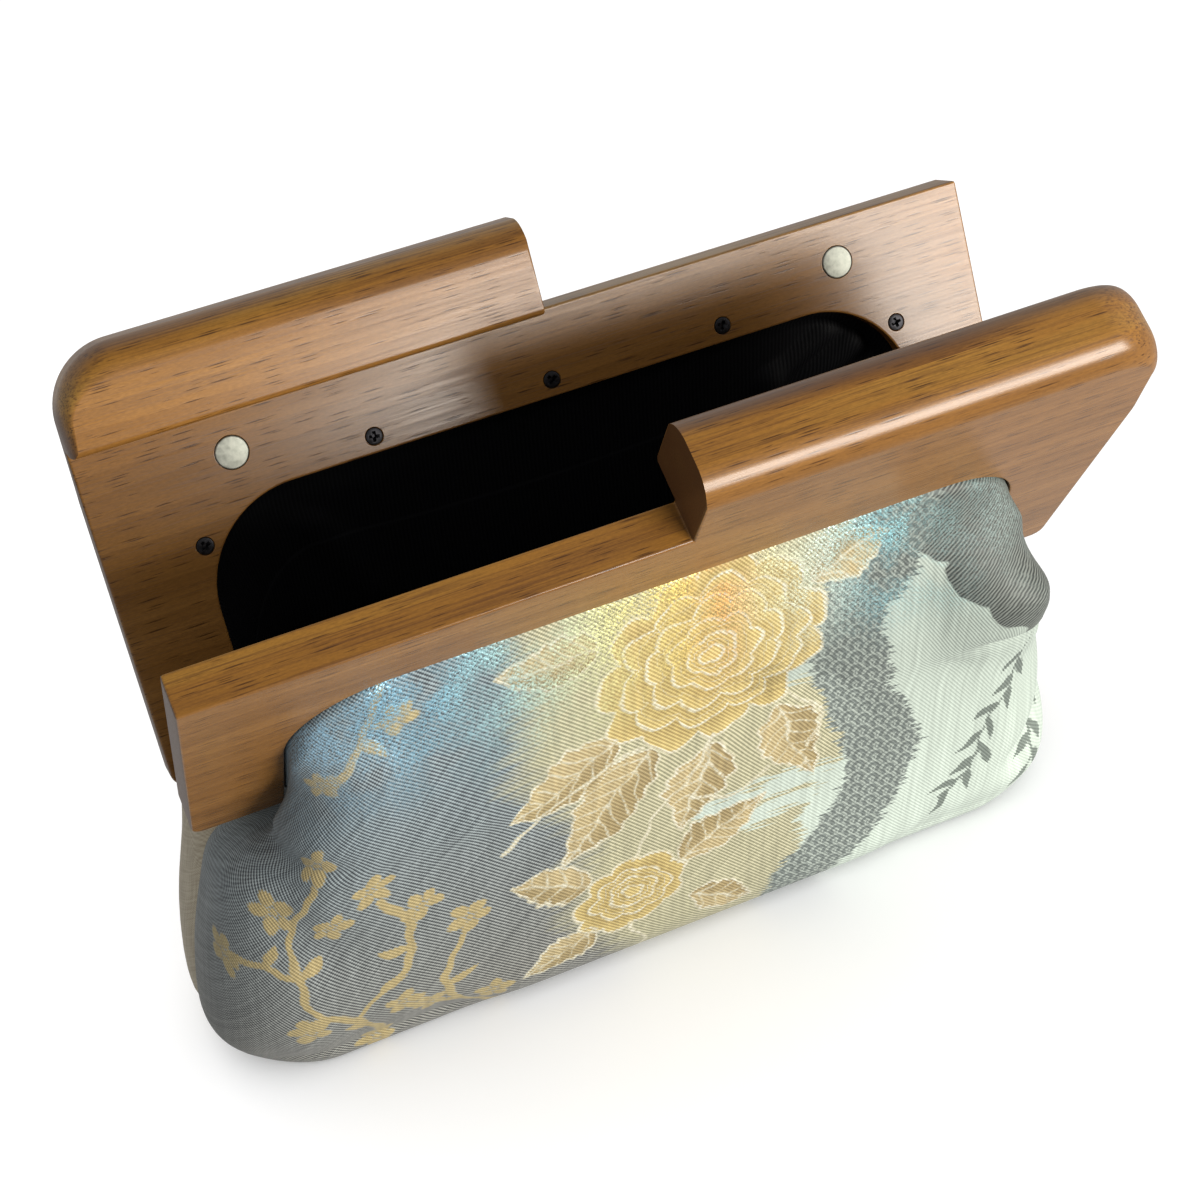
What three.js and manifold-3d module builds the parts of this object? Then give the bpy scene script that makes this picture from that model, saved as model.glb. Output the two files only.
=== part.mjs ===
// Clutch bag: two equal wooden half frames on hidden hinges carry a lined cloth pouch.
// Millimetres, +Z up, front towards -Y. The origin lies on the floor under the middle of the pouch.
import * as THREE from 'three';
import { mergeVertices } from 'three/addons/utils/BufferGeometryUtils.js';
import Module from 'manifold-3d';

const wasm = await Module();
wasm.setup();

// Half frame: an arch-shaped board whose right half carries the grip rail
const frameWidth = 280;
const boardThickness = 12.5;
const lowEdgeHeight = 102; // leg end to the plain half of the top edge
const railRise = 27.8; // rail above the plain half
const railDepth = 25.5; // outer face to the rail's overhang
const railRound = 9.5;
const railCorner = 20;
const railStart = 0.3; // past the frame's middle
const legCorner = 4;
const archHalfWidth = 112;
const archHeight = 75.8;
const archCorner = 30;

// How the two halves stand open on their hinge line
const halfLean = THREE.MathUtils.degToRad(27.2);
const hingeHeight = 106; // hinge line above the floor
const hingeDrop = 2.5; // hinge line below the leg ends
const closingGap = 0.5; // inner face to the middle plane when shut
const frameShift = 3; // frame's middle to the right of the pouch's

// Groove round the arch that holds the cloth edges
const grooveDepth = 9.2;
const grooveWidth = 3.7;
const outerLip = 4.4;

// Cloth
const panelThickness = 1.2;
const liningThickness = 1.0;
const clothGap = 0.4;
const seamGap = 0.4;
const hemDepth = 8.5;
const legEndHem = 0.3; // share of the hem left at the leg ends
const hemClearance = 0.35;
const hemStart = 1; // above the leg ends
const lipClearance = 1.3;
const lipSwell = 1.2; // in front of the board along the legs
const lipRecess = 1.2; // behind the board's face along the top
const lipTurn = { from: 0.5, to: 1.4 }; // the lip sinks in over this much of the arch corner's run
const legEndEase = 18; // run over which the cloth comes forward from a leg end
const pullReach = 16; // drop over which the arch still holds the cloth in
const letGo = 4; // how soon the hold of the arch fades to nothing at the shoulder

// Fittings
const fitGap = 0.3;
const cutOver = 1; // cutting shapes reach this far past the faces they cut
const magnetRadius = 5;
const magnetThickness = 3;
const magnetEdge = 0.4;
const magnetAcross = 96.1;
const magnetUp = 88.8;
const magnetProud = 0.3;
const screwHeadRadius = 2.7;
const screwHeadDepth = 2.2;
const screwShankRadius = 1.4;
const screwLength = 11;
const screwRecess = { length: 3.2, width: 0.8, depth: 1.1 };
const screwOutset = 5;
const screwSpacing = 55.6;
const cornerScrewTurn = THREE.MathUtils.degToRad(34);
const leafThickness = 1.2;
const leafLength = 14;
const leafReach = 10;
const knuckleRadius = 2;
const hingeAcross = 130;

// Level sections through the pouch, from the arch top down to the floor.
// Sway is how far a section lies to the right of the frame's middle.
const sections = [
  { height: 174, halfWidth: 110, halfDepth: 46.5, corner: 24, sway: 0 },
  { height: 138, halfWidth: 110, halfDepth: 46.5, corner: 24, sway: 0 },
  { height: 110, halfWidth: 110, halfDepth: 45.5, corner: 24, sway: 0 },
  { height: 101, halfWidth: 110.5, halfDepth: 45, corner: 24, sway: 0 },
  { height: 94, halfWidth: 124, halfDepth: 44.5, corner: 27, sway: -1 },
  { height: 86, halfWidth: 133.5, halfDepth: 44, corner: 30, sway: -2 },
  { height: 70, halfWidth: 139, halfDepth: 43, corner: 32, sway: -2.5 },
  { height: 45, halfWidth: 145, halfDepth: 41, corner: 32, sway: -3 },
  { height: 20, halfWidth: 148, halfDepth: 38, corner: 31, sway: -3 },
  { height: 9, halfWidth: 145, halfDepth: 35, corner: 29, sway: -3 },
  { height: 3, halfWidth: 139.5, halfDepth: 31, corner: 26, sway: -3 },
  { height: 0, halfWidth: 132, halfDepth: 25.5, corner: 21, sway: -3 },
  { height: 0, halfWidth: 124, halfDepth: 12.5, corner: 9, sway: -3 },
  { height: 0, halfWidth: 116, halfDepth: 0.1, corner: 0.1, sway: -3 },
];
const shoulderRow = 3;
const hemRows = 3;

// Swells (push > 0) and dents (push < 0) of each panel, each along a line from one place to another.
// Across runs from the panel's left seam (0) to its right seam (1), seen from outside.
const frontFolds = [
  { across: 0.83, height: 134, toAcross: 0.85, toHeight: 114, reach: 16, push: 8 },
  { across: 0.17, height: 134, toAcross: 0.15, toHeight: 114, reach: 16, push: 4 },
  { across: 0.865, height: 120, toAcross: 0.88, toHeight: 102, reach: 13, push: 13 },
  { across: 0.94, height: 52, toAcross: 0.87, toHeight: 28, reach: 9, push: -5 },
  { across: 0.12, height: 84, toAcross: 0.17, toHeight: 64, reach: 12, push: -3 },
  { across: 0.12, height: 8, toAcross: 0.26, toHeight: 6, reach: 16, push: -4 },
  { across: 0.86, height: 8, toAcross: 0.78, toHeight: 6, reach: 14, push: -2.5 },
];
const backFolds = [
  { across: 0.83, height: 134, toAcross: 0.85, toHeight: 114, reach: 16, push: 4 },
  { across: 0.88, height: 104, toAcross: 0.89, toHeight: 92, reach: 14, push: 5 },
  { across: 0.17, height: 134, toAcross: 0.15, toHeight: 114, reach: 16, push: 4 },
];

// Fineness of the faceted shapes
const weldDistance = 1e-4;
const arcSegments = 7;
const roundSegments = 24;
const screwSegments = 8;
const railSegments = 6;
const legStrips = 4;
const cornerStrips = 4;
const topStrips = 6;
const neckRows = [0.3, 0.65, 1];

const legRun = archHeight - archCorner;
const cornerRun = archCorner * Math.PI / 2;
const halfTopRun = archHalfWidth - archCorner;
const edgeRun = 2 * (legRun + cornerRun + halfTopRun);
const railTop = lowEdgeHeight + railRise;
const outerFace = -closingGap - boardThickness;
const grooveFront = outerFace + outerLip;

const woodFinish = new THREE.MeshStandardMaterial({ color: '#8b5e3c', roughness: 0.35, metalness: 0 });
const figuredCloth = new THREE.MeshStandardMaterial({ color: '#7f858b', roughness: 0.6, metalness: 0 });
const beigeCloth = new THREE.MeshStandardMaterial({ color: '#b8a88c', roughness: 0.8, metalness: 0 });
const blackCloth = new THREE.MeshStandardMaterial({ color: '#1b1b1d', roughness: 0.85, metalness: 0 });
const nickelPlate = new THREE.MeshStandardMaterial({ color: '#c8c7c3', roughness: 0.25, metalness: 1 });
const blackSteel = new THREE.MeshStandardMaterial({ color: '#232326', roughness: 0.4, metalness: 0.8 });
const brassPlate = new THREE.MeshStandardMaterial({ color: '#b29a5c', roughness: 0.35, metalness: 1 });

// Solids for joins and cuts, and back again
function solidOf(geometry) {
  const bare = new THREE.BufferGeometry();
  bare.setAttribute('position', geometry.getAttribute('position').clone());
  bare.setIndex(geometry.getIndex());
  const merged = mergeVertices(bare, weldDistance);
  return new wasm.Manifold(new wasm.Mesh({
    numProp: 3,
    vertProperties: new Float32Array(merged.getAttribute('position').array),
    triVerts: new Uint32Array(merged.getIndex().array),
  }));
}

function geometryOf(solid) {
  const mesh = solid.getMesh();
  const geometry = new THREE.BufferGeometry();
  geometry.setAttribute('position', new THREE.BufferAttribute(mesh.vertProperties, 3));
  geometry.setIndex(new THREE.BufferAttribute(mesh.triVerts, 1));
  geometry.computeVertexNormals();
  return geometry;
}

// A shape drawn in the board's plane (x across, z up), with its thickness from y0 to y1
function boardSlab(shape, y0, y1) {
  const options = { depth: y1 - y0, bevelEnabled: false, curveSegments: arcSegments };
  const geometry = new THREE.ExtrudeGeometry(shape, options);
  geometry.rotateX(Math.PI / 2);
  geometry.translate(0, y1, 0);
  return solidOf(geometry);
}

function archShape(outset) {
  const halfWidth = archHalfWidth + outset;
  const radius = archCorner + outset;
  const shape = new THREE.Shape();
  shape.moveTo(-halfWidth, -cutOver);
  shape.lineTo(-halfWidth, legRun);
  shape.absarc(-halfTopRun, legRun, radius, Math.PI, Math.PI / 2, true);
  shape.absarc(halfTopRun, legRun, radius, Math.PI / 2, 0, true);
  shape.lineTo(halfWidth, -cutOver);
  return shape;
}

function boardOutline() {
  const half = frameWidth / 2;
  const shape = new THREE.Shape();
  shape.moveTo(-half, lowEdgeHeight);
  shape.lineTo(-half, legCorner);
  shape.absarc(-half + legCorner, legCorner, legCorner, Math.PI, 1.5 * Math.PI, false);
  shape.absarc(half - legCorner, legCorner, legCorner, 1.5 * Math.PI, 2 * Math.PI, false);
  shape.lineTo(half, railTop - railCorner);
  shape.absarc(half - railCorner, railTop - railCorner, railCorner, 0, Math.PI / 2, false);
  shape.lineTo(railStart, railTop);
  shape.lineTo(railStart, lowEdgeHeight);
  return shape;
}

function railOutline() {
  const half = frameWidth / 2;
  const shape = new THREE.Shape();
  shape.moveTo(railStart, lowEdgeHeight);
  shape.lineTo(half, lowEdgeHeight);
  shape.lineTo(half, railTop - railCorner);
  shape.absarc(half - railCorner, railTop - railCorner, railCorner, 0, Math.PI / 2, false);
  shape.lineTo(railStart, railTop);
  return shape;
}

// The rail seen on its end, run along the whole frame so that it trims both top edges round
function railEndTrim() {
  const back = outerFace + railDepth;
  const shape = new THREE.Shape();
  shape.moveTo(outerFace, -cutOver);
  shape.lineTo(back, -cutOver);
  shape.lineTo(back, railTop - railRound);
  shape.absarc(back - railRound, railTop - railRound, railRound, 0, Math.PI / 2, false);
  shape.absarc(outerFace + railRound, railTop - railRound, railRound, Math.PI / 2, Math.PI, false);
  const length = frameWidth + 2 * cutOver;
  const options = { depth: length, bevelEnabled: false, curveSegments: railSegments };
  const geometry = new THREE.ExtrudeGeometry(shape, options);
  geometry.translate(0, 0, -length / 2);
  const across = new THREE.Vector3(0, 1, 0);
  const up = new THREE.Vector3(0, 0, 1);
  const along = new THREE.Vector3(1, 0, 0);
  geometry.applyMatrix4(new THREE.Matrix4().makeBasis(across, up, along));
  return solidOf(geometry);
}

// Where the magnets and screws sit on the inner face, as [across, up from the leg end]
const magnetSpots = [[-magnetAcross, magnetUp], [magnetAcross, magnetUp]];
const cornerScrewX = halfTopRun + (archCorner + screwOutset) * Math.cos(cornerScrewTurn);
const cornerScrewZ = legRun + (archCorner + screwOutset) * Math.sin(cornerScrewTurn);
const screwSpots = [
  [-cornerScrewX, cornerScrewZ],
  [-screwSpacing, archHeight + screwOutset],
  [0, archHeight + screwOutset],
  [screwSpacing, archHeight + screwOutset],
  [cornerScrewX, cornerScrewZ],
];

// Round pieces lie along the board's thickness, with y = 0 on the inner face and the tip at -y
function turned(profile, segments) {
  const points = profile.map(([radius, y]) => new THREE.Vector2(radius, y));
  return new THREE.LatheGeometry(points, segments);
}

function screwProfile(grow) {
  const headRadius = screwHeadRadius + grow;
  const shankRadius = screwShankRadius + grow;
  const tip = -screwLength - grow;
  const tipTop = tip + screwShankRadius;
  return [[0, tip], [shankRadius, tipTop], [shankRadius, -screwHeadDepth], [headRadius, -fitGap]];
}

function screwGeometry() {
  const profile = [...screwProfile(0), [screwHeadRadius, 0], [0, 0]];
  const { length, width, depth } = screwRecess;
  const slot = solidOf(new THREE.BoxGeometry(length, 2 * depth, width));
  const crossSlot = solidOf(new THREE.BoxGeometry(width, 2 * depth, length));
  return geometryOf(solidOf(turned(profile, screwSegments)).subtract(slot).subtract(crossSlot));
}

function screwSeat() {
  const headRadius = screwHeadRadius + fitGap;
  return turned([...screwProfile(fitGap), [headRadius, cutOver], [0, cutOver]], screwSegments);
}

function magnetGeometry() {
  const back = -magnetThickness;
  const rim = magnetRadius - magnetEdge;
  const profile = [[0, back], [magnetRadius, back], [magnetRadius, -magnetEdge], [rim, 0], [0, 0]];
  return turned(profile, roundSegments);
}

function magnetSeat() {
  const radius = magnetRadius + fitGap;
  const floor = -magnetThickness - fitGap;
  return turned([[0, floor], [radius, floor], [radius, cutOver], [0, cutOver]], roundSegments);
}

function halfFrameGeometry() {
  const board = boardSlab(boardOutline(), outerFace, -closingGap);
  const rail = boardSlab(railOutline(), outerFace, outerFace + railDepth);
  let frame = board.add(rail).intersect(railEndTrim());
  frame = frame.subtract(boardSlab(archShape(0), outerFace - cutOver, cutOver));
  frame = frame.subtract(boardSlab(archShape(grooveDepth), grooveFront, grooveFront + grooveWidth));
  for (const [x, z] of screwSpots) {
    frame = frame.subtract(solidOf(screwSeat().translate(x, -closingGap, z)));
  }
  for (const [x, z] of magnetSpots) {
    frame = frame.subtract(solidOf(magnetSeat().translate(x, -closingGap, z)));
  }
  return geometryOf(frame);
}

// One plain leaf hinge under the leg ends: a knuckle on the hinge line and a leaf under each leg
function hingeGeometry() {
  const top = hingeDrop - fitGap;
  const knuckle = new THREE.CylinderGeometry(knuckleRadius, knuckleRadius, leafLength, screwSegments);
  knuckle.rotateZ(Math.PI / 2);
  let hinge = solidOf(knuckle);
  for (const turn of [0, Math.PI]) {
    const leaf = new THREE.BoxGeometry(leafLength, leafReach, leafThickness);
    leaf.translate(0, -leafReach / 2, top - leafThickness / 2);
    leaf.rotateX(halfLean);
    leaf.rotateZ(turn);
    hinge = hinge.add(solidOf(leaf));
  }
  return geometryOf(hinge);
}

// A place on the front half frame (up from the leg end), in the bag's own frame
function onFrontHalf(x, y, up) {
  const z = up + hingeDrop;
  const sin = Math.sin(halfLean);
  const cos = Math.cos(halfLean);
  return new THREE.Vector3(x, y * cos - z * sin, hingeHeight + y * sin + z * cos);
}

// A place along the arch edge, moved outwards into the board by outset
function archPoint(across, outset) {
  const side = across < 0.5 ? -1 : 1;
  const run = Math.min(across, 1 - across) * edgeRun;
  if (run < legRun) {
    return { x: side * (archHalfWidth + outset), up: THREE.MathUtils.lerp(hemStart, legRun, run / legRun) };
  }
  if (run < legRun + cornerRun) {
    const turn = (run - legRun) / archCorner;
    const radius = archCorner + outset;
    return { x: side * (halfTopRun + radius * Math.cos(turn)), up: legRun + radius * Math.sin(turn) };
  }
  return { x: side * (edgeRun / 2 - run), up: archHeight + outset };
}

// A place on the front of a level section: a round-cornered box from side seam to side seam
function sectionPoint(across, section) {
  const { halfWidth, halfDepth, corner } = section;
  const side = across < 0.5 ? -1 : 1;
  const sideRun = halfDepth - corner;
  const turnRun = corner * Math.PI / 2;
  const halfRun = sideRun + turnRun + halfWidth - corner;
  const run = Math.min(across, 1 - across) * 2 * halfRun;
  if (run < sideRun) return { x: side * halfWidth, y: -run };
  if (run < sideRun + turnRun) {
    const turn = (run - sideRun) / corner;
    const x = halfWidth - corner + corner * Math.cos(turn);
    return { x: side * x, y: -sideRun - corner * Math.sin(turn) };
  }
  return { x: side * (halfRun - run), y: -halfDepth };
}

function sectionAt(height) {
  let upper = 0;
  while (upper < shoulderRow && sections[upper + 1].height > height) upper += 1;
  const from = sections[upper];
  const to = sections[upper + 1];
  const part = (from.height - height) / (from.height - to.height);
  return {
    halfWidth: THREE.MathUtils.lerp(from.halfWidth, to.halfWidth, part),
    halfDepth: THREE.MathUtils.lerp(from.halfDepth, to.halfDepth, part),
    corner: THREE.MathUtils.lerp(from.corner, to.corner, part),
    sway: THREE.MathUtils.lerp(from.sway, to.sway, part),
  };
}

function bodyPoint(panel, across, height, section) {
  const { x, y } = sectionPoint(across, section);
  return new THREE.Vector3(x + panel.facing * section.sway, y - seamGap / 2, height);
}

// One strip of the front panel, from its hem in the groove down to the bottom seam
function panelStrip(panel, across) {
  const { lerp, smoothstep } = THREE.MathUtils;
  const run = Math.min(across, 1 - across) * edgeRun;
  const clearOfLegEnd = smoothstep(run, 0, legEndEase);
  const overTop = smoothstep(run, legRun + lipTurn.from * cornerRun, legRun + lipTurn.to * cornerRun);
  const hemY = grooveFront + hemClearance;
  const lipFront = lerp(outerFace - lipSwell, outerFace + lipRecess, overTop);
  const lipY = lerp(hemY - hemClearance, lipFront, clearOfLegEnd);
  const hem = archPoint(across, hemDepth * lerp(legEndHem, 1, clearOfLegEnd));
  const mouth = archPoint(across, -lipClearance / 2);
  const lip = archPoint(across, -lipClearance);
  const lipPlace = onFrontHalf(lip.x, lipY, lip.up);
  const strip = [onFrontHalf(hem.x, hemY, hem.up), onFrontHalf(mouth.x, hemY, mouth.up), lipPlace];

  // Under the lip the cloth lets go of the arch and comes to the pouch's own section
  const pull = lipPlace.clone().sub(bodyPoint(panel, across, lipPlace.z, sectionAt(lipPlace.z)));
  const drop = lipPlace.z - sections[shoulderRow].height;
  for (const part of neckRows) {
    const height = lipPlace.z - part * drop;
    const hold = Math.exp(-((part * drop / pullReach) ** 2) - letGo * part * part);
    strip.push(bodyPoint(panel, across, height, sectionAt(height)).addScaledVector(pull, hold));
  }
  for (const section of sections.slice(shoulderRow + 1)) {
    strip.push(bodyPoint(panel, across, section.height, section));
  }
  return strip;
}

// Places across the panel: even steps along each leg, corner and top stretch of the arch
function acrossStops() {
  const leg = { length: legRun, strips: legStrips };
  const corner = { length: cornerRun, strips: cornerStrips };
  const top = { length: 2 * halfTopRun, strips: topStrips };
  const stops = [0];
  let start = 0;
  for (const { length, strips } of [leg, corner, top, corner, leg]) {
    for (let i = 1; i <= strips; i += 1) stops.push((start + length * i / strips) / edgeRun);
    start += length;
  }
  return stops;
}

// Which way the cloth's outer face looks at a place of the grid
function outwardAt(strips, i, j) {
  const last = strips.length - 1;
  const end = strips[i].length - 1;
  if (j > end - 2) return new THREE.Vector3(0, 0, -1);
  const sideways = strips[Math.min(i + 1, last)][j].clone().sub(strips[Math.max(i - 1, 0)][j]);
  const downwards = strips[i][j + 1].clone().sub(strips[i][Math.max(j - 1, 0)]);
  const outward = downwards.cross(sideways);
  if ((i === 0 || i === last) && j >= hemRows) outward.y = 0;
  return outward.normalize();
}

// Sum of the swells and dents at a place, in millimetres outwards
function foldPush(panel, across, height) {
  const place = new THREE.Vector3(across * edgeRun, height, 0);
  let push = 0;
  for (const fold of panel.folds) {
    const from = new THREE.Vector3(fold.across * edgeRun, fold.height, 0);
    const to = new THREE.Vector3(fold.toAcross * edgeRun, fold.toHeight, 0);
    const nearest = new THREE.Line3(from, to).closestPointToPoint(place, true, new THREE.Vector3());
    push += fold.push * Math.exp(-((nearest.distanceTo(place) / fold.reach) ** 2));
  }
  return push;
}

function panelGrid(panel) {
  const stops = acrossStops();
  const smooth = stops.map((across) => panelStrip(panel, across));
  return smooth.map((strip, i) => strip.map((place, j) => {
    if (j < hemRows || place.z === 0) return place;
    return place.clone().addScaledVector(outwardAt(smooth, i, j), foldPush(panel, stops[i], place.z));
  }));
}

// The grid moved inwards from the panel's outer face
function layer(strips, depth) {
  return strips.map((strip, i) => strip.map((place, j) => (
    place.clone().addScaledVector(outwardAt(strips, i, j), -depth)
  )));
}

// A closed wall between an outer and an inner grid of strips
function wallGeometry(outer, inner) {
  const count = outer.length;
  const rows = outer[0].length;
  const positions = [...outer.flat(), ...inner.flat()].flatMap((place) => place.toArray());
  const indices = [];
  const quad = (a, b, c, d) => indices.push(a, b, c, a, c, d);
  const outerAt = (i, j) => i * rows + j;
  const innerAt = (i, j) => count * rows + outerAt(i, j);
  const right = count - 1;
  const bottom = rows - 1;
  for (let i = 0; i < right; i += 1) {
    for (let j = 0; j < bottom; j += 1) {
      quad(outerAt(i, j), outerAt(i, j + 1), outerAt(i + 1, j + 1), outerAt(i + 1, j));
      quad(innerAt(i, j), innerAt(i + 1, j), innerAt(i + 1, j + 1), innerAt(i, j + 1));
    }
    quad(outerAt(i, 0), outerAt(i + 1, 0), innerAt(i + 1, 0), innerAt(i, 0));
    quad(outerAt(i, bottom), innerAt(i, bottom), innerAt(i + 1, bottom), outerAt(i + 1, bottom));
  }
  for (let j = 0; j < bottom; j += 1) {
    quad(outerAt(0, j), innerAt(0, j), innerAt(0, j + 1), outerAt(0, j + 1));
    quad(outerAt(right, j), outerAt(right, j + 1), innerAt(right, j + 1), innerAt(right, j));
  }
  const geometry = new THREE.BufferGeometry();
  geometry.setAttribute('position', new THREE.Float32BufferAttribute(positions, 3));
  geometry.setIndex(indices);
  geometry.computeVertexNormals();
  return geometry;
}

// Cuts the holes that the screws of one half frame pass through
function pierce(cloth, halfTurn) {
  let pierced = cloth;
  for (const [x, z] of screwSpots) {
    const radius = screwShankRadius + fitGap;
    const hole = new THREE.CylinderGeometry(radius, radius, 2 * screwLength, screwSegments);
    hole.translate(x, 0, z + hingeDrop).rotateX(halfLean).translate(0, 0, hingeHeight).rotateZ(halfTurn);
    pierced = pierced.subtract(solidOf(hole));
  }
  return pierced;
}

function panelGeometry(grid) {
  return geometryOf(pierce(solidOf(wallGeometry(grid, layer(grid, panelThickness))), 0));
}

// The lining is one length of cloth: down the front, under and up the back
function liningGeometry(frontGrid, backGrid) {
  const depth = panelThickness + clothGap;
  const faces = [depth, depth + liningThickness].map((faceDepth) => {
    const front = layer(frontGrid, faceDepth);
    const back = layer(backGrid, faceDepth).reverse();
    return front.map((strip, i) => {
      const turnedBack = back[i].map((place) => new THREE.Vector3(-place.x, -place.y, place.z));
      return [...strip, ...turnedBack.reverse()];
    });
  });
  return geometryOf(pierce(pierce(solidOf(wallGeometry(...faces)), 0), Math.PI));
}

function named(name, geometry, material, x = 0, y = 0, z = 0) {
  const mesh = new THREE.Mesh(geometry, material);
  mesh.name = name;
  mesh.position.set(x, y, z);
  return mesh;
}

const bag = new THREE.Group();
const frameShape = halfFrameGeometry();
const frontGrid = panelGrid({ facing: 1, folds: frontFolds });
const backGrid = panelGrid({ facing: -1, folds: backFolds });
const halves = [
  { side: 'front', halfTurn: 0, grid: frontGrid, cloth: figuredCloth },
  { side: 'back', halfTurn: Math.PI, grid: backGrid, cloth: beigeCloth },
];

for (const { side, halfTurn, grid, cloth } of halves) {
  const half = new THREE.Group();
  half.rotation.z = halfTurn;
  half.add(named(`${side}_panel`, panelGeometry(grid), cloth));

  // Everything on the leaning board, from the hinge line up
  const board = new THREE.Group();
  board.position.z = hingeHeight;
  board.rotation.x = halfLean;
  board.add(named(`${side}_frame`, frameShape, woodFinish, 0, 0, hingeDrop));
  for (const [x, z] of magnetSpots) {
    const hand = (x < 0) === (halfTurn === 0) ? 'left' : 'right';
    const magnet = named(`${side}_magnet_${hand}`, magnetGeometry(), nickelPlate);
    magnet.position.set(x, magnetProud - closingGap, z + hingeDrop);
    board.add(magnet);
  }
  screwSpots.forEach(([x, z], i) => {
    board.add(named(`${side}_screw_${i + 1}`, screwGeometry(), blackSteel, x, -closingGap, z + hingeDrop));
  });
  half.add(board);
  bag.add(half);
}

bag.add(named('lining', liningGeometry(frontGrid, backGrid), blackCloth));
bag.add(named('left_hinge', hingeGeometry(), brassPlate, -hingeAcross, 0, hingeHeight));
bag.add(named('right_hinge', hingeGeometry(), brassPlate, hingeAcross, 0, hingeHeight));

// The pouch hangs a little to the left of the frame, and the origin is under the pouch
bag.position.x = frameShift;
const part = new THREE.Group();
part.add(bag);

export default part;
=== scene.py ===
import math
import bmesh
import bpy
import numpy as np
from mathutils import Matrix, Vector


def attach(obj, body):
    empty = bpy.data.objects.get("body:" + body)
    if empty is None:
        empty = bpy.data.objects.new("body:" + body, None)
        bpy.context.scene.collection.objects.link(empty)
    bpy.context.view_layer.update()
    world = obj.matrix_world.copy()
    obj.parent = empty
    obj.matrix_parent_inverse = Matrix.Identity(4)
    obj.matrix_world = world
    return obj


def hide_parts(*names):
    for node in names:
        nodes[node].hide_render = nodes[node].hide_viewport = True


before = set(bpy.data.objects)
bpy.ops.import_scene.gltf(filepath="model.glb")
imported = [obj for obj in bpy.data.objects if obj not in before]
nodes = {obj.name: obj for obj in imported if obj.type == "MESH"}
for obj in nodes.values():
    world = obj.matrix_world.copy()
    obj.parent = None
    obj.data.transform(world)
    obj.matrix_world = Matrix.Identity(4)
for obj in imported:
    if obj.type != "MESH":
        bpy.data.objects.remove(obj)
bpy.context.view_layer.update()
mm = 0.001
print("frame loaded:", len(nodes), "nodes")


# sRGB hex to linear RGBA, for every colour in this file
def colour(hexValue):
    channels = [int(hexValue[i:i + 2], 16) / 255 for i in (1, 3, 5)]
    return [c / 12.92 if c <= 0.04045 else ((c + 0.055) / 1.055) ** 2.4 for c in channels] + [1.0]


# adds one node: settings are its properties; an input is a value, a socket,
# or a node that gives the first output it has in use
def addNode(tree, kind, inputs=None, **settings):
    node = tree.nodes.new("ShaderNode" + kind)
    for name, value in settings.items():
        setattr(node, name, value)
    for socket, value in (inputs or {}).items():
        if isinstance(value, bpy.types.Node):
            value = next(output for output in value.outputs if output.enabled)
        if isinstance(value, bpy.types.NodeSocket):
            tree.links.new(value, node.inputs[socket])
        else:
            node.inputs[socket].default_value = value
    return node


def newMaterial(name):
    material = bpy.data.materials.new(name)
    material.use_nodes = True
    material.node_tree.nodes.clear()
    return material, material.node_tree


def setRamp(node, stops):
    elements = node.color_ramp.elements
    while len(elements) < len(stops):
        elements.new(1.0)
    for element, (place, hexValue) in zip(elements, stops):
        element.position = place
        element.color = colour(hexValue)


def newPiece(name, mesh, material):
    piece = bpy.data.objects.new(name, mesh)
    bpy.context.scene.collection.objects.link(piece)
    mesh.materials.clear()
    mesh.materials.append(material)
    return piece


def smoothByAngle(mesh, degrees):
    mesh.shade_smooth()
    mesh.set_sharp_from_angle(angle=math.radians(degrees))


# camera: the photo's viewpoint, solved from the frame's corners
camera = {
    "place": (-173.2246, -467.8709, 588.026),
    "forward": (0.25140876, 0.68834484, -0.68042267),
    "right": (0.91460206, -0.39898309, -0.06569296),
    "lens": 68.4846,
    "sensor": 36.0,
}
cameraData = bpy.data.cameras.new("camera")
cameraData.lens = camera["lens"]
cameraData.sensor_width = camera["sensor"]
cameraData.clip_start = 0.01
cameraPiece = bpy.data.objects.new("camera", cameraData)
bpy.context.scene.collection.objects.link(cameraPiece)
lookBack = -Vector(camera["forward"]).normalized()
lookRight = Vector(camera["right"]).normalized()
axes = Matrix((lookRight, lookBack.cross(lookRight), lookBack)).transposed()
cameraPiece.matrix_world = Matrix.Translation(Vector(camera["place"]) * mm) @ axes.to_4x4()
bpy.context.scene.camera = cameraPiece

# studio: one strong softbox low and near at the front right, a dim room, and a soft lamp for the table alone
studio = {
    "skyLevels": (  # (sine of the height, level)
        (-1.0, 0.55), (-0.1, 0.5), (0.05, 0.55), (0.26, 0.62),
        (0.5, 0.8), (0.77, 0.75), (0.93, 0.3), (1.0, 0.15)),
    "skyWay": (0.3, 0.95, 0.0), "skyNear": 0.62, "skyFar": 1.25,  # brighter behind the bag than in front
    "softboxes": [
        {"name": "frontRight", "place": (0.47, -0.86, 0.37), "aim": (0.02, 0.0, 0.14), "size": (0.7, 0.42),
         "watts": 18.5, "tint": "#fffaf2", "onTable": False},
        {"name": "overTable", "place": (-0.12, -0.16, 1.1), "aim": (0.0, 0.0, 0.0), "size": (1.6, 1.6),
         "watts": 14.0, "tint": "#ffffff", "onTable": True},
    ],
}
world = bpy.data.worlds.new("studio")
bpy.context.scene.world = world
world.use_nodes = True
sky = world.node_tree
sky.nodes.clear()
skyPlace = addNode(sky, "TexCoord")
skyParts = addNode(sky, "SeparateXYZ", {0: skyPlace.outputs["Generated"]})
skyHeight = addNode(sky, "MapRange", {0: skyParts.outputs[2], 1: -1.0, 2: 1.0})  # by the sine of the height
skyRamp = addNode(sky, "ValToRGB", {0: skyHeight})
skyStops = skyRamp.color_ramp.elements
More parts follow.
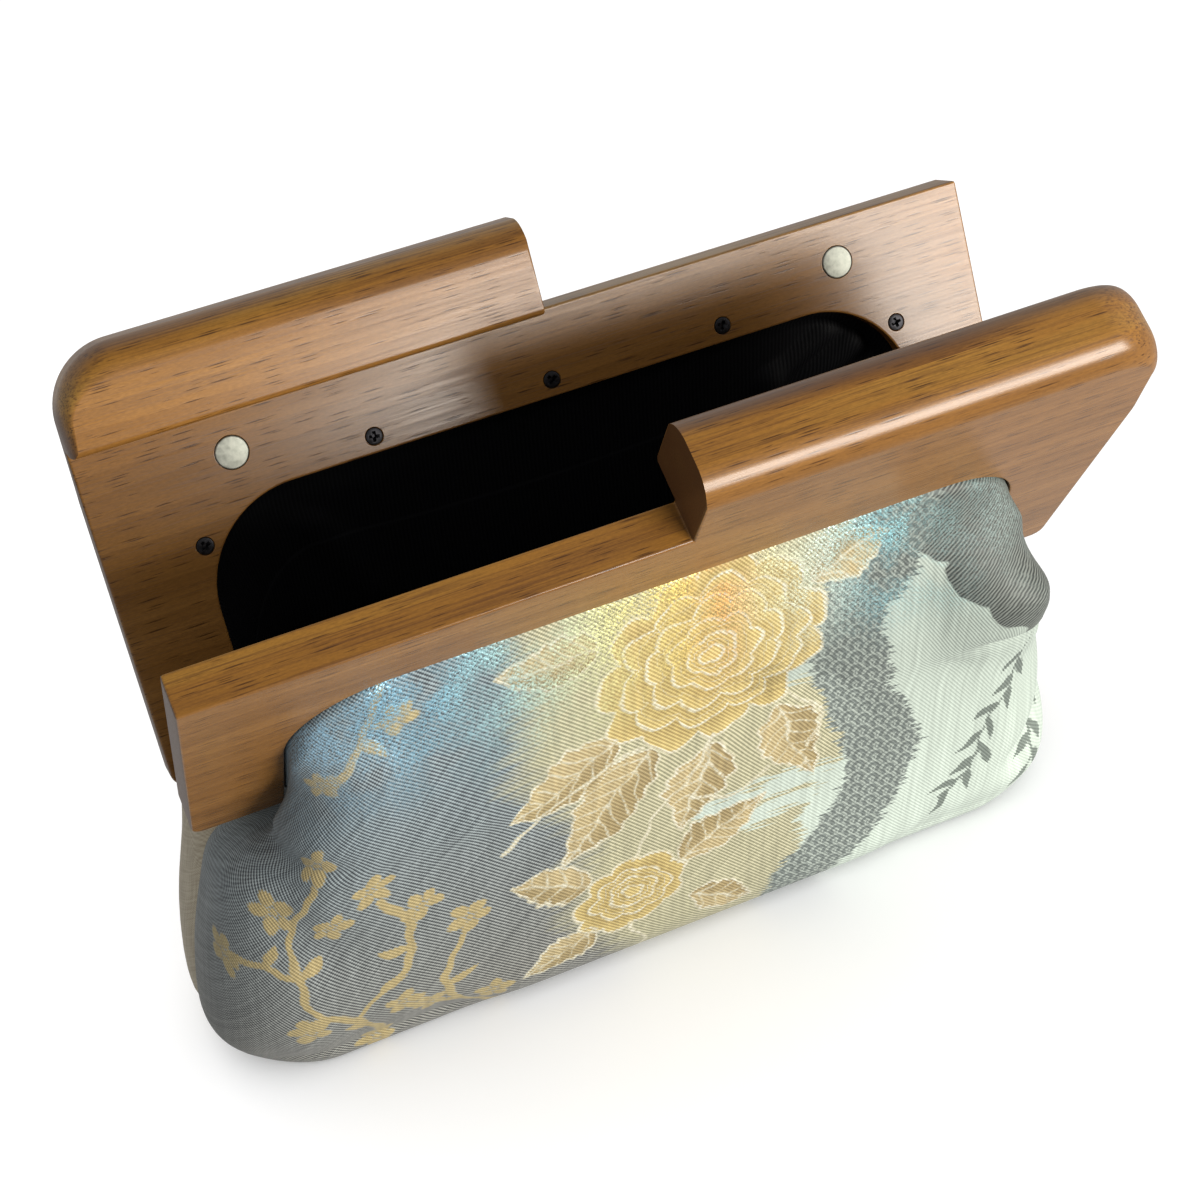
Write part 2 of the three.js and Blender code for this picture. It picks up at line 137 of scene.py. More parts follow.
while len(skyStops) < len(studio["skyLevels"]):
    skyStops.new(1.0)
for stop, (height, level) in zip(skyStops, studio["skyLevels"]):
    stop.position = (height + 1) / 2
    stop.color = (level, level, level, 1.0)
skyAlong = addNode(sky, "VectorMath", {
    0: skyPlace.outputs["Generated"], 1: studio["skyWay"]}, operation="DOT_PRODUCT")
skySide = addNode(sky, "MapRange", {0: skyAlong, 1: -1.0, 2: 1.0, 3: studio["skyNear"], 4: studio["skyFar"]})
skyLight = addNode(sky, "Background", {0: skyRamp, 1: skySide})
addNode(sky, "OutputWorld", {0: skyLight})
bpy.context.scene.view_settings.view_transform = "Standard"

# floor: pale opal acrylic table, lit a little from below, with a fine matt tooth
table = {
    "tone": "#eeeeee", "glow": 0.2, "roughness": 0.9, "specular": 0.1,
    "halfWidth": 4.0, "squares": 8, "drop": 0.3,  # half width in metres; it lies 0.3 mm under the bag
    "teeth": 900.0, "toothHeight": 0.2, "toothRelief": 0.05,  # teeth across the whole table
}
opal, tree = newMaterial("opalAcrylic")
tooth = addNode(tree, "TexNoise", {"Scale": table["teeth"], "Detail": 2.0})
toothBump = addNode(tree, "Bump", {
    "Strength": table["toothRelief"], "Distance": table["toothHeight"] * mm, "Height": tooth})
opalShader = addNode(tree, "BsdfPrincipled", {
    "Base Color": colour(table["tone"]), "Roughness": table["roughness"],
    "Specular IOR Level": table["specular"],
    "Emission Color": (1.0, 1.0, 1.0, 1.0), "Emission Strength": table["glow"], "Normal": toothBump})
addNode(tree, "OutputMaterial", {0: opalShader})
floorMesh = bpy.data.meshes.new("floor")
builder = bmesh.new()
bmesh.ops.create_grid(
    builder, x_segments=table["squares"], y_segments=table["squares"], size=table["halfWidth"])
builder.to_mesh(floorMesh)
builder.free()
floor = newPiece("floor", floorMesh, opal)
floor.location.z = -table["drop"] * mm
# the bag is lit and mirrored by the room's grey lower half, not by the bright table
floor.visible_diffuse = False
floor.visible_glossy = False
floor.visible_shadow = False
for box in studio["softboxes"]:
    lamp = bpy.data.lights.new(box["name"], "AREA")
    lamp.shape = "RECTANGLE"
    lamp.size, lamp.size_y = box["size"]
    lamp.energy = box["watts"]
    lamp.color = colour(box["tint"])[:3]
    lampPiece = bpy.data.objects.new(box["name"], lamp)
    bpy.context.scene.collection.objects.link(lampPiece)
    lampPiece.location = box["place"]
    aim = Vector(box["aim"]) - Vector(box["place"])
    lampPiece.rotation_euler = aim.to_track_quat("-Z", "Y").to_euler()
    # the front softbox is flagged off the table, and the table's lamp lights nothing else
    lit = bpy.data.collections.new(box["name"] + "Lit")
    lit.objects.link(floor)
    lit.collection_objects[0].light_linking.link_state = "INCLUDE" if box["onTable"] else "EXCLUDE"
    lampPiece.light_linking.receiver_collection = lit
print("camera, light and floor set")

# stained and lacquered hardwood: rubberwood-like, planed, brown stain under a satin lacquer.
# The eye sees grain along the frame, short dark pores, fine fibre lines, golden round-overs, dark end grain.
wood = {
    "edge": ("#67421a", "#835a22", "#96702d"), "face": ("#745024", "#7f5829", "#8b6332"),
    "toneStops": (0.3, 0.5, 0.7), "pore": "#371e0b", "fibre": "#4f3014", "endGrain": "#4f3218",
    # sizes in mm along and across the grain
    "streak": (160.0, 14.0), "fibreSize": (40.0, 0.55), "fleck": (1.4, 0.4), "poreSize": (11.0, 0.62),
    "ringWidth": 7.0, "ringBend": 12.0, "pith": (0.0, 60.0, -240.0), "ringTaper": 0.04, "ringDepth": 0.25,
    "poreShare": 0.15, "poreRadius": 0.48, "poreCore": 0.4, "poreWaver": 0.3, "poreDepth": 0.85,
    "faceFrom": (0.62, 0.86), "endFrom": (0.9, 0.99), "endDepth": 0.9,  # how squarely a face looks that way
    # the last entry on the next line is painted light: how much lighter the rail block's flat face is painted
    "fibreFrom": (0.46, 0.66), "fibreDepth": (0.75, 0.4), "fleckLevels": (0.9, 1.1), "railPaintedLight": 1.2,
    "roughness": 0.1, "edgeDuller": 0.1, "endDuller": 0.1, "fibreDuller": 0.3, "ior": 1.42,
    "fibreGroove": 0.25, "relief": 0.16, "reliefHeight": 0.1,
    # where in the plank the back half and the rail blocks come from, in metres
    "plankPlaces": {"front": (0.0, 0.0, 0.0), "back": (0.43, 0.011, 0.02)}, "railPlace": (0.19, 0.007, 0.05),
}
lacquered, tree = newMaterial("lacqueredHardwood")
place = addNode(tree, "Attribute", attribute_name="boardPlace")


def alongGrain(tree, place, length, width):
    stretch = (1 / (length * mm), 1 / (width * mm), 1 / (width * mm))
    return addNode(tree, "VectorMath", {0: place.outputs["Vector"], 1: stretch}, operation="MULTIPLY")


tone = addNode(tree, "TexNoise", {
    "Vector": alongGrain(tree, place, *wood["streak"]), "Scale": 1.0, "Detail": 3.0})
fibre = addNode(tree, "TexNoise", {
    "Vector": alongGrain(tree, place, *wood["fibreSize"]), "Scale": 1.0, "Detail": 4.0, "Roughness": 0.6})
fleck = addNode(tree, "TexNoise", {
    "Vector": alongGrain(tree, place, *wood["fleck"]), "Scale": 1.0, "Detail": 1.0})
# growth rings: shells round a pith far below the board, bent a little by the tone noise
pith = [c * mm for c in wood["pith"]]
apart = addNode(tree, "VectorMath", {0: place.outputs["Vector"], 1: pith}, operation="SUBTRACT")
flatten = addNode(tree, "VectorMath", {0: apart, 1: (wood["ringTaper"], 1.0, 1.0)}, operation="MULTIPLY")
radius = addNode(tree, "VectorMath", {0: flatten}, operation="LENGTH")
ringBend = addNode(tree, "Math", {0: tone, 1: wood["ringBend"] * mm, 2: radius}, operation="MULTIPLY_ADD")
ringTurns = addNode(tree, "Math", {0: ringBend, 1: 1 / (wood["ringWidth"] * mm)}, operation="MULTIPLY")
ring = addNode(tree, "Math", {0: ringTurns}, operation="FRACT")
# pores: short dark dashes along the grain, one in each chosen cell
poreBend = addNode(tree, "VectorMath", {
    0: fibre.outputs["Color"], 1: (0.0, wood["poreWaver"], wood["poreWaver"]),
    2: alongGrain(tree, place, *wood["poreSize"])}, operation="MULTIPLY_ADD")
pore = addNode(tree, "TexVoronoi", {"Vector": poreBend, "Scale": 1.0, "Randomness": 1.0})
poreChance = addNode(tree, "SeparateXYZ", {0: pore.outputs["Color"]})
poreReach = addNode(tree, "MapRange", {
    0: poreChance.outputs[0], 1: wood["poreShare"], 2: 1.0, 3: 0.0, 4: wood["poreRadius"]})
poreCore = addNode(tree, "Math", {0: poreReach, 1: wood["poreCore"]}, operation="MULTIPLY")
poreMask = addNode(tree, "MapRange", {
    0: pore.outputs["Distance"], 1: poreReach, 2: poreCore, 3: 0.0, 4: wood["poreDepth"]})
# the stain took deeper and more golden on the edges and round-overs than on the sanded flat faces
facing = addNode(tree, "TexCoord")
facingParts = addNode(tree, "SeparateXYZ", {0: facing.outputs["Normal"]})
faceWay = addNode(tree, "Math", {0: facingParts.outputs[1]}, operation="ABSOLUTE")
faceShare = addNode(tree, "MapRange", {0: faceWay, 1: wood["faceFrom"][0], 2: wood["faceFrom"][1]})
endWay = addNode(tree, "Math", {0: facingParts.outputs[0]}, operation="ABSOLUTE")
endShare = addNode(tree, "MapRange", {
    0: endWay, 1: wood["endFrom"][0], 2: wood["endFrom"][1], 3: 0.0, 4: wood["endDepth"]})
edgeTone = addNode(tree, "ValToRGB", {0: tone})
setRamp(edgeTone, tuple(zip(wood["toneStops"], wood["edge"])))
faceTone = addNode(tree, "ValToRGB", {0: tone})
setRamp(faceTone, tuple(zip(wood["toneStops"], wood["face"])))
toned = addNode(tree, "Mix", {0: faceShare, 6: edgeTone, 7: faceTone}, data_type="RGBA")
ringShade = addNode(tree, "MapRange", {0: ring, 1: 0.0, 2: 1.0, 3: 0.0, 4: wood["ringDepth"]})
ringed = addNode(tree, "Mix", {0: ringShade, 6: toned, 7: colour(wood["fibre"])}, data_type="RGBA")
onEdge, onFace = wood["fibreDepth"]
fibreDepth = addNode(tree, "MapRange", {0: faceShare, 1: 0.0, 2: 1.0, 3: onEdge, 4: onFace})
fibreLevel = addNode(tree, "MapRange", {0: fibre, 1: wood["fibreFrom"][0], 2: wood["fibreFrom"][1]})
fibreShade = addNode(tree, "Math", {0: fibreLevel, 1: fibreDepth}, operation="MULTIPLY")
fibred = addNode(tree, "Mix", {0: fibreShade, 6: ringed, 7: colour(wood["fibre"])}, data_type="RGBA")
pored = addNode(tree, "Mix", {0: poreMask, 6: fibred, 7: colour(wood["pore"])}, data_type="RGBA")
ended = addNode(tree, "Mix", {0: endShare, 6: pored, 7: colour(wood["endGrain"])}, data_type="RGBA")
darkFleck, paleFleck = wood["fleckLevels"]
fleckShade = addNode(tree, "MapRange", {0: fleck, 1: 0.3, 2: 0.7, 3: darkFleck, 4: paleFleck})
# painted light: the rail block's flat inner face is painted lighter than the board's, for the stronger light
# that falls on it
railRead = addNode(tree, "Attribute", attribute_name="railBlock")
onRailFace = addNode(tree, "Math", {0: railRead.outputs["Fac"], 1: faceShare}, operation="MULTIPLY")
paintedRailLight = addNode(tree, "MapRange", {0: onRailFace, 3: 1.0, 4: wood["railPaintedLight"]})
fleckToneAndPaintedLight = addNode(tree, "Math", {0: fleckShade, 1: paintedRailLight}, operation="MULTIPLY")
flecked = addNode(tree, "VectorMath", {0: ended, 3: fleckToneAndPaintedLight}, operation="SCALE")
grooved = addNode(tree, "Math", {0: fibre, 1: wood["fibreGroove"]}, operation="MULTIPLY")
sunk = addNode(tree, "Math", {0: grooved, 1: poreMask}, operation="SUBTRACT")
grainBump = addNode(tree, "Bump", {
    "Strength": wood["relief"], "Distance": wood["reliefHeight"] * mm, "Height": sunk})
# hand-sanded edges are duller, and end grain drinks lacquer
rubbed = addNode(tree, "MapRange", {
    0: faceShare, 3: wood["roughness"] + wood["edgeDuller"], 4: wood["roughness"]})
dry = addNode(tree, "Math", {0: endShare, 1: wood["endDuller"], 2: rubbed}, operation="MULTIPLY_ADD")
satin = addNode(tree, "Math", {0: fibre, 1: wood["fibreDuller"], 2: dry}, operation="MULTIPLY_ADD")
woodShader = addNode(tree, "BsdfPrincipled", {
    "Base Color": flecked, "Roughness": satin, "IOR": wood["ior"], "Normal": grainBump})
addNode(tree, "OutputMaterial", {0: woodShader})

# half frame: an arch-shaped board whose right half carries the grip rail, sizes in mm
halfFrame = {
    "width": 280.0, "thickness": 12.5, "lowEdge": 102.0, "railRise": 27.8, "railDepth": 25.5,
    "railRound": 9.5, "railCorner": 20.0, "railStart": 0.3, "legCorner": 4.0,
    "archHalfWidth": 112.0, "archHeight": 75.8, "archCorner": 30.0,
    "lean": 27.2, "hingeHeight": 106.0, "hingeDrop": 2.5, "closingGap": 0.5, "shift": 3.0,
    "grooveDepth": 9.2, "grooveWidth": 3.7, "outerLip": 4.4,
    "arris": 0.8, "startArris": 0.4, "seatArris": 0.25, "railUnderRound": 2.0,
    "endShare": 0.4, "runOut": 22.0,  # the round-over is smaller round the outer end
    "arcSteps": 20, "legSteps": 8, "underSteps": 6, "crease": 35.0,  # sharper edges stay creased
}
outerFace = -halfFrame["closingGap"] - halfFrame["thickness"]
innerFace = -halfFrame["closingGap"]
railTop = halfFrame["lowEdge"] + halfFrame["railRise"]
grooveFront = outerFace + halfFrame["outerLip"]
past = 1.0  # cutting shapes reach this far past the faces they cut
cutReach = 30.0  # and prisms cut through the board reach this far to either side of it


def arc(centre, radius, startTurn, endTurn, steps=halfFrame["arcSteps"]):
    turns = np.radians(np.linspace(startTurn, endTurn, steps + 1))
    return [(centre[0] + radius * math.cos(t), centre[1] + radius * math.sin(t)) for t in turns]


# a prism from an outline drawn in two of the board's axes and run along the third
def prism(name, outline, start, end, axisOrder):
    mesh = bpy.data.meshes.new(name)
    builder = bmesh.new()
    corners = []
    for a, b in outline:
        spot = [0.0, 0.0, 0.0]
        spot[axisOrder[0]], spot[axisOrder[1]], spot[axisOrder[2]] = a, b, start
        corners.append(builder.verts.new(spot))
    face = builder.faces.new(corners)
    drawn = bmesh.ops.extrude_face_region(builder, geom=[face])
    away = [0.0, 0.0, 0.0]
    away[axisOrder[2]] = end - start
    farEnd = [g for g in drawn["geom"] if isinstance(g, bmesh.types.BMVert)]
    bmesh.ops.translate(builder, vec=away, verts=farEnd)
    bmesh.ops.recalc_face_normals(builder, faces=builder.faces)
    builder.to_mesh(mesh)
    builder.free()
    piece = bpy.data.objects.new(name, mesh)
    bpy.context.scene.collection.objects.link(piece)
    return piece


# the same mesh with its corners and faces in a set order, since a cut leaves them in an order that varies
def inSetOrder(mesh):
    spots = np.empty(len(mesh.vertices) * 3, np.float32)
    mesh.vertices.foreach_get("co", spots)
    spots = spots.reshape(-1, 3)
    order = np.lexsort((np.round(spots, 4) + 0.0).T)
    rank = np.argsort(order)
    rings = []
    for face in mesh.polygons:
        ring = [int(rank[corner]) for corner in face.vertices]
        first = ring.index(min(ring))
        rings.append(ring[first:] + ring[:first])
    ordered = bpy.data.meshes.new(mesh.name)
    ordered.from_pydata(spots[order].tolist(), [], sorted(rings))
    return ordered


def bakeModifiers(piece):
    shaped = piece.evaluated_get(bpy.context.evaluated_depsgraph_get())
    mesh = bpy.data.meshes.new_from_object(shaped)
    piece.modifiers.clear()
    piece.data = inSetOrder(mesh)


def carve(piece, tool, operation):
    cut = piece.modifiers.new("cut", "BOOLEAN")
    cut.operation = operation
    cut.solver = "EXACT"
    cut.object = tool
    bakeModifiers(piece)
    bpy.data.objects.remove(tool)


def easeEdges(piece, width, chosen, segments=2):
    builder = bmesh.new()
    builder.from_mesh(piece.data)
    # slivers left by cutting would hold the bevel small
    bmesh.ops.remove_doubles(builder, verts=builder.verts, dist=0.06)
    bmesh.ops.dissolve_limit(builder, angle_limit=math.radians(0.3), verts=builder.verts, edges=builder.edges)
    edges = [e for e in builder.edges if chosen(e)]
    bmesh.ops.bevel(
        builder, geom=edges, offset=width, segments=segments, profile=0.5, affect="EDGES", clamp_overlap=True)
    builder.to_mesh(piece.data)
    builder.free()


def archOutline(outset):
    half, top = halfFrame["archHalfWidth"], halfFrame["archHeight"]
    corner = halfFrame["archCorner"]
    side = half - corner
    return ([(-half - outset, -past)] + arc((-side, top - corner), corner + outset, 180, 90)
            + arc((side, top - corner), corner + outset, 90, 0) + [(half + outset, -past)])


def boardOutline():
    # just under the rail block's own under face
    half, low = halfFrame["width"] / 2, halfFrame["lowEdge"] - 0.005
    leg, start, above = halfFrame["legCorner"], halfFrame["railStart"], railTop + past
    steps = halfFrame["legSteps"]
    return ([(-half, low)] + arc((-half + leg, leg), leg, 180, 270, steps)
            + arc((half - leg, leg), leg, 270, 360, steps) + [(half, above), (start, above), (start, low)])


# the board and rail block seen on end, as (y, up)
def endOutline():
    back, low, above = outerFace + halfFrame["railDepth"], halfFrame["lowEdge"], railTop + past
    under = halfFrame["railUnderRound"]
    return ([(outerFace, -past), (innerFace, -past), (innerFace, low)]
            + arc((back - under, low + under), under, 270, 360, halfFrame["underSteps"])
            + [(back, above), (outerFace, above)])


# what the round-over leaves standing: the rail's outline drawn in by an inset that shrinks from each face,
# round the outer corner too, and running out down the end
def domeBlock():
    half, corner, dome = halfFrame["width"] / 2, halfFrame["railCorner"], halfFrame["railRound"]
    back, low = outerFace + halfFrame["railDepth"], halfFrame["lowEdge"] - halfFrame["runOut"]
    far, foot = -half - 10 * past, -10 * past
    turns = np.radians(np.linspace(0, 90, halfFrame["arcSteps"] + 1))
    off = 0.03  # the first and last layers lie just off the faces, so that no two faces share a plane
    shares = [(1 - math.cos(t), 1 - math.sin(t)) for t in turns]
    layers = [(outerFace - off + (dome + off) * inward, dome * inset) for inward, inset in shares]
    layers += [(back + off - (dome + off) * inward, dome * inset) for inward, inset in shares[::-1]]
    mesh = bpy.data.meshes.new("domeBlock")
    builder = bmesh.new()
    rings = []
    for y, inset in layers:
        outline = [(far, foot), (half + past / 2, foot), (half + past / 2, low)]
        wide, tall = corner - halfFrame["endShare"] * inset, corner - inset
        outline += [(half - corner + wide * x, railTop - corner + tall * z) for x, z in arc((0, 0), 1, 0, 90)]
        outline.append((far, railTop - inset))
        rings.append([builder.verts.new((x, y, z)) for x, z in outline])
    for lower, upper in zip(rings, rings[1:]):
        for i in range(len(lower)):
            n = (i + 1) % len(lower)
            builder.faces.new((lower[i], lower[n], upper[n], upper[i]))
    builder.faces.new(rings[0])
    builder.faces.new(rings[-1][::-1])
    bmesh.ops.recalc_face_normals(builder, faces=builder.faces)
    builder.to_mesh(mesh)
    builder.free()
    piece = bpy.data.objects.new("domeBlock", mesh)
    bpy.context.scene.collection.objects.link(piece)
    return piece


cornerRun = halfFrame["archCorner"] * math.pi / 2
legRun = halfFrame["archHeight"] - halfFrame["archCorner"]
halfTopRun = halfFrame["archHalfWidth"] - halfFrame["archCorner"]
edgeRun = 2 * (legRun + cornerRun + halfTopRun)

fittings = {
    "magnetRadius": 4.85, "magnetThickness": 3.0, "magnetAcross": 96.1, "magnetUp": 88.8, "magnetProud": 0.3,
    "screwHead": 2.6, "screwHeadDepth": 2.2, "screwShank": 1.4, "screwLength": 11.0, "screwOutset": 5.0,
    "screwSpacing": 55.6, "cornerTurn": 34.0, "fitGap": 0.15,
    "screwTurns": [12.0, 63.0, 35.0, 80.0, 24.0], "screwSides": 32, "magnetSides": 48,
    "magnetEdge": 0.45, "headEdge": 0.35, "headBreak": (0.12, 0.08),  # rounded rims
    "magnetCrease": 40.0, "screwCrease": 30.0,  # degrees
    "recess": {"length": 3.6, "width": 1.0, "depth": 1.3, "floor": 0.6, "above": 0.2},
}
cornerReach = halfFrame["archCorner"] + fittings["screwOutset"]
cornerScrew = (halfTopRun + cornerReach * math.cos(math.radians(fittings["cornerTurn"])),
               legRun + cornerReach * math.sin(math.radians(fittings["cornerTurn"])))
topScrew = halfFrame["archHeight"] + fittings["screwOutset"]
screwSpots = [(-cornerScrew[0], cornerScrew[1]), (-fittings["screwSpacing"], topScrew), (0.0, topScrew),
              (fittings["screwSpacing"], topScrew), cornerScrew]
magnetSpots = [(side * fittings["magnetAcross"], fittings["magnetUp"]) for side in (-1, 1)]


# round pieces: rings of (radius, y) about the board's y axis, closed at both ends
def turnedMesh(name, profile, segments):
    mesh = bpy.data.meshes.new(name)
    builder = bmesh.new()
    rings = []
    for radius, y in profile:
        if radius == 0:
            rings.append([builder.verts.new((0.0, y, 0.0))])
            continue
        turns = [2 * math.pi * i / segments for i in range(segments)]
        rings.append([builder.verts.new((radius * math.cos(t), y, radius * math.sin(t))) for t in turns])
    for lower, upper in zip(rings, rings[1:]):
        for i in range(segments):
            n = (i + 1) % segments
            if len(lower) == 1:
                builder.faces.new((lower[0], upper[n], upper[i]))
            elif len(upper) == 1:
                builder.faces.new((lower[i], lower[n], upper[0]))
            else:
                builder.faces.new((lower[i], lower[n], upper[n], upper[i]))
    bmesh.ops.recalc_face_normals(builder, faces=builder.faces)
    builder.to_mesh(mesh)
    builder.free()
    return mesh


def screwProfile(grow):
    head, shank = fittings["screwHead"] + grow, fittings["screwShank"] + grow
    tip = -fittings["screwLength"] - grow
    return [(0, tip), (shank, tip + fittings["screwShank"]), (shank, -fittings["screwHeadDepth"]),
            (head, -fittings["fitGap"])]


def seat(profile, spot, segments):
    piece = bpy.data.objects.new("seat", turnedMesh("seat", profile, segments))
    bpy.context.scene.collection.objects.link(piece)
    piece.data.transform(Matrix.Translation((spot[0], innerFace, spot[1])))
    return piece


def sharp(edge):
    return len(edge.link_faces) == 2 and edge.calc_face_angle(0) > math.radians(halfFrame["crease"])


half = halfFrame["width"] / 2
board = prism("board", endOutline(), -half - past, half + past, (1, 2, 0))
carve(board, prism("outline", boardOutline(), -cutReach, cutReach, (0, 2, 1)), "INTERSECT")
carve(board, prism("arch", archOutline(0.0), -cutReach, cutReach, (0, 2, 1)), "DIFFERENCE")
easeEdges(board, halfFrame["arris"], sharp)
carve(board, domeBlock(), "INTERSECT")


# the sawn inner end of the rail, where the dome was cut through
def railStartRim(edge):
    return sharp(edge) and all(abs(v.co.x - halfFrame["railStart"]) < 0.01 for v in edge.verts)


easeEdges(board, halfFrame["startArris"], railStartRim)
grooveBack = grooveFront + halfFrame["grooveWidth"]
grooveOutline = archOutline(halfFrame["grooveDepth"])
carve(board, prism("groove", grooveOutline, grooveFront, grooveBack, (0, 2, 1)), "DIFFERENCE")
gap = fittings["fitGap"]
headSeat = fittings["screwHead"] + gap
magnetSeat, seatFloor = fittings["magnetRadius"] + gap, -fittings["magnetThickness"] - gap
screwHole = screwProfile(gap) + [(headSeat, past), (0, past)]
magnetHole = [(0, seatFloor), (magnetSeat, seatFloor), (magnetSeat, past), (0, past)]
for spot in screwSpots:
    carve(board, seat(screwHole, spot, fittings["screwSides"]), "DIFFERENCE")
for spot in magnetSpots:
    carve(board, seat(magnetHole, spot, fittings["magnetSides"]), "DIFFERENCE")


# the rims of the screw and magnet seats, on the inner face
def seatRim(edge):
    if not all(abs(v.co.y - innerFace) < 0.01 for v in edge.verts):
        return False
    middle = (edge.verts[0].co + edge.verts[1].co) / 2
    reaches = [(spot, headSeat) for spot in screwSpots] + [(spot, magnetSeat) for spot in magnetSpots]
    return any(abs(math.hypot(middle.x - s[0], middle.z - s[1]) - reach) < gap for s, reach in reaches)


easeEdges(board, halfFrame["seatArris"], seatRim)
boardMesh = board.data
bpy.data.objects.remove(board)
lean = Matrix.Rotation(math.radians(halfFrame["lean"]), 4, "X")
atHinge = Matrix.Translation((0, 0, halfFrame["hingeHeight"]))
onHinge = atHinge @ lean @ Matrix.Translation((0, 0, halfFrame["hingeDrop"]))
inPlace = Matrix.Scale(mm, 4) @ Matrix.Translation((halfFrame["shift"], 0, 0))
halves = {"front": inPlace @ onHinge, "back": inPlace @ Matrix.Rotation(math.pi, 4, "Z") @ onHinge}
for side, where in halves.items():
    mesh = boardMesh.copy()
    spots = np.empty(len(mesh.vertices) * 3, np.float32)
    mesh.vertices.foreach_get("co", spots)
    corners = np.empty(len(mesh.loops), np.int32)
    mesh.loops.foreach_get("vertex_index", corners)
    starts = np.empty(len(mesh.polygons), np.int32)
    mesh.polygons.foreach_get("loop_start", starts)
    cornerSpots = spots.reshape(-1, 3)[corners]
    # the rail block is glued on the board's inner side, so the grain breaks there
    insideBoard = np.minimum.reduceat(cornerSpots[:, 1], starts) > innerFace + 0.1
    onRail = np.repeat(insideBoard, np.diff(np.append(starts, len(corners))))
    offset = np.array(wood["plankPlaces"][side]) + onRail[:, None] * np.array(wood["railPlace"])
    grain = mesh.attributes.new("boardPlace", "FLOAT_VECTOR", "CORNER")
    grain.data.foreach_set("vector", (cornerSpots * mm + offset).astype(np.float32).ravel())
    # these marks place the painted light on the rail block's flat face
    railBlock = mesh.attributes.new("railBlock", "FLOAT", "CORNER")
    railBlock.data.foreach_set("value", onRail.astype(np.float32))
    mesh.transform(where)
    smoothByAngle(mesh, halfFrame["crease"])
    piece = newPiece(side + "Frame", mesh, lacquered)
    flatFaces = piece.modifiers.new("flatFaces", "WEIGHTED_NORMAL")
    flatFaces.keep_sharp = True
    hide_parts(side + "_frame")
    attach(piece, "root")
print("wooden half frames built:", len(boardMesh.polygons), "faces each")

# nickel-plated disc magnets: pressed, plated and worn dull, a satin grey with faint scuffs
plate = {"scuff": 1.6, "dark": "#85887f", "pale": "#b0b2a8", "roughness": (0.5, 0.62), "relief": 0.15}
nickel, tree = newMaterial("nickelPlate")
scuffPlace = addNode(tree, "TexCoord")
scuff = addNode(tree, "TexNoise", {
    "Vector": scuffPlace.outputs["Object"], "Scale": 1 / (plate["scuff"] * mm), "Detail": 5.0})
bright, worn = plate["roughness"]
scuffed = addNode(tree, "MapRange", {0: scuff, 1: 0.3, 2: 0.7, 3: bright, 4: worn})
nickelTone = addNode(tree, "ValToRGB", {0: scuff})
setRamp(nickelTone, ((0.35, plate["dark"]), (0.65, plate["pale"])))
nickelBump = addNode(tree, "Bump", {"Strength": plate["relief"], "Distance": 0.1 * mm, "Height": scuff})
nickelShader = addNode(tree, "BsdfPrincipled", {
    "Base Color": nickelTone, "Metallic": 1.0, "Roughness": scuffed, "Normal": nickelBump})
addNode(tree, "OutputMaterial", {0: nickelShader})

# black-oxide steel screws: blued and oiled, nearly black with a low satin shine
oxide = {"stain": 0.8, "dark": "#1b1b1e", "pale": "#2c2c2f", "roughness": (0.3, 0.48), "metallic": 0.85}
blued, tree = newMaterial("blackOxideSteel")
oilPlace = addNode(tree, "TexCoord")
oil = addNode(tree, "TexNoise", {
    "Vector": oilPlace.outputs["Object"], "Scale": 1 / (oxide["stain"] * mm), "Detail": 4.0})
wet, dried = oxide["roughness"]
oiled = addNode(tree, "MapRange", {0: oil, 1: 0.3, 2: 0.7, 3: wet, 4: dried})
bluedTone = addNode(tree, "ValToRGB", {0: oil})
setRamp(bluedTone, ((0.3, oxide["dark"]), (0.7, oxide["pale"])))
bluedShader = addNode(tree, "BsdfPrincipled", {
    "Base Color": bluedTone, "Metallic": oxide["metallic"], "Roughness": oiled})
addNode(tree, "OutputMaterial", {0: bluedShader})

# stamped brass hinges: rolled sheet, drawn lines along the leaf
hingeLeaf = {"line": (12.0, 0.25), "dark": "#a58a4c", "pale": "#c6ab68", "roughness": (0.28, 0.42),
             "arris": 0.2}
brass, tree = newMaterial("stampedBrass")
rollPlace = addNode(tree, "TexCoord")
lineLength, lineWidth = hingeLeaf["line"]
rolling = (1 / (lineLength * mm), 1 / (lineWidth * mm), 1 / (lineWidth * mm))
rolled = addNode(tree, "VectorMath", {0: rollPlace.outputs["Object"], 1: rolling}, operation="MULTIPLY")
roll = addNode(tree, "TexNoise", {"Vector": rolled, "Scale": 1.0, "Detail": 3.0})
brassTone = addNode(tree, "ValToRGB", {0: roll})
setRamp(brassTone, ((0.3, hingeLeaf["dark"]), (0.7, hingeLeaf["pale"])))
smooth, drawn = hingeLeaf["roughness"]
brassRough = addNode(tree, "MapRange", {0: roll, 1: 0.3, 2: 0.7, 3: smooth, 4: drawn})
brassShader = addNode(tree, "BsdfPrincipled", {
    "Base Color": brassTone, "Metallic": 1.0, "Roughness": brassRough})
addNode(tree, "OutputMaterial", {0: brassShader})
for name in ("left_hinge", "right_hinge"):
    hinge = nodes[name]
    hinge.data.materials.clear()
    hinge.data.materials.append(brass)
    eased = hinge.modifiers.new("eased", "BEVEL")
    eased.width = hingeLeaf["arris"] * mm
    eased.segments = 2

# magnets and screws, fitted to both halves; seen from outside, left and right swap on the back half
magnetRadius, edge = fittings["magnetRadius"], fittings["magnetEdge"]
rimTurns = np.radians((90, 60, 30, 0))
rim = [(magnetRadius - edge + edge * math.sin(t), -edge + edge * math.cos(t)) for t in rimTurns]
under = -fittings["magnetThickness"]
magnetProfile = [(0, under), (magnetRadius, under)] + rim + [(0, 0)]
magnetMesh = turnedMesh("discMagnet", magnetProfile, fittings["magnetSides"])
smoothByAngle(magnetMesh, fittings["magnetCrease"])

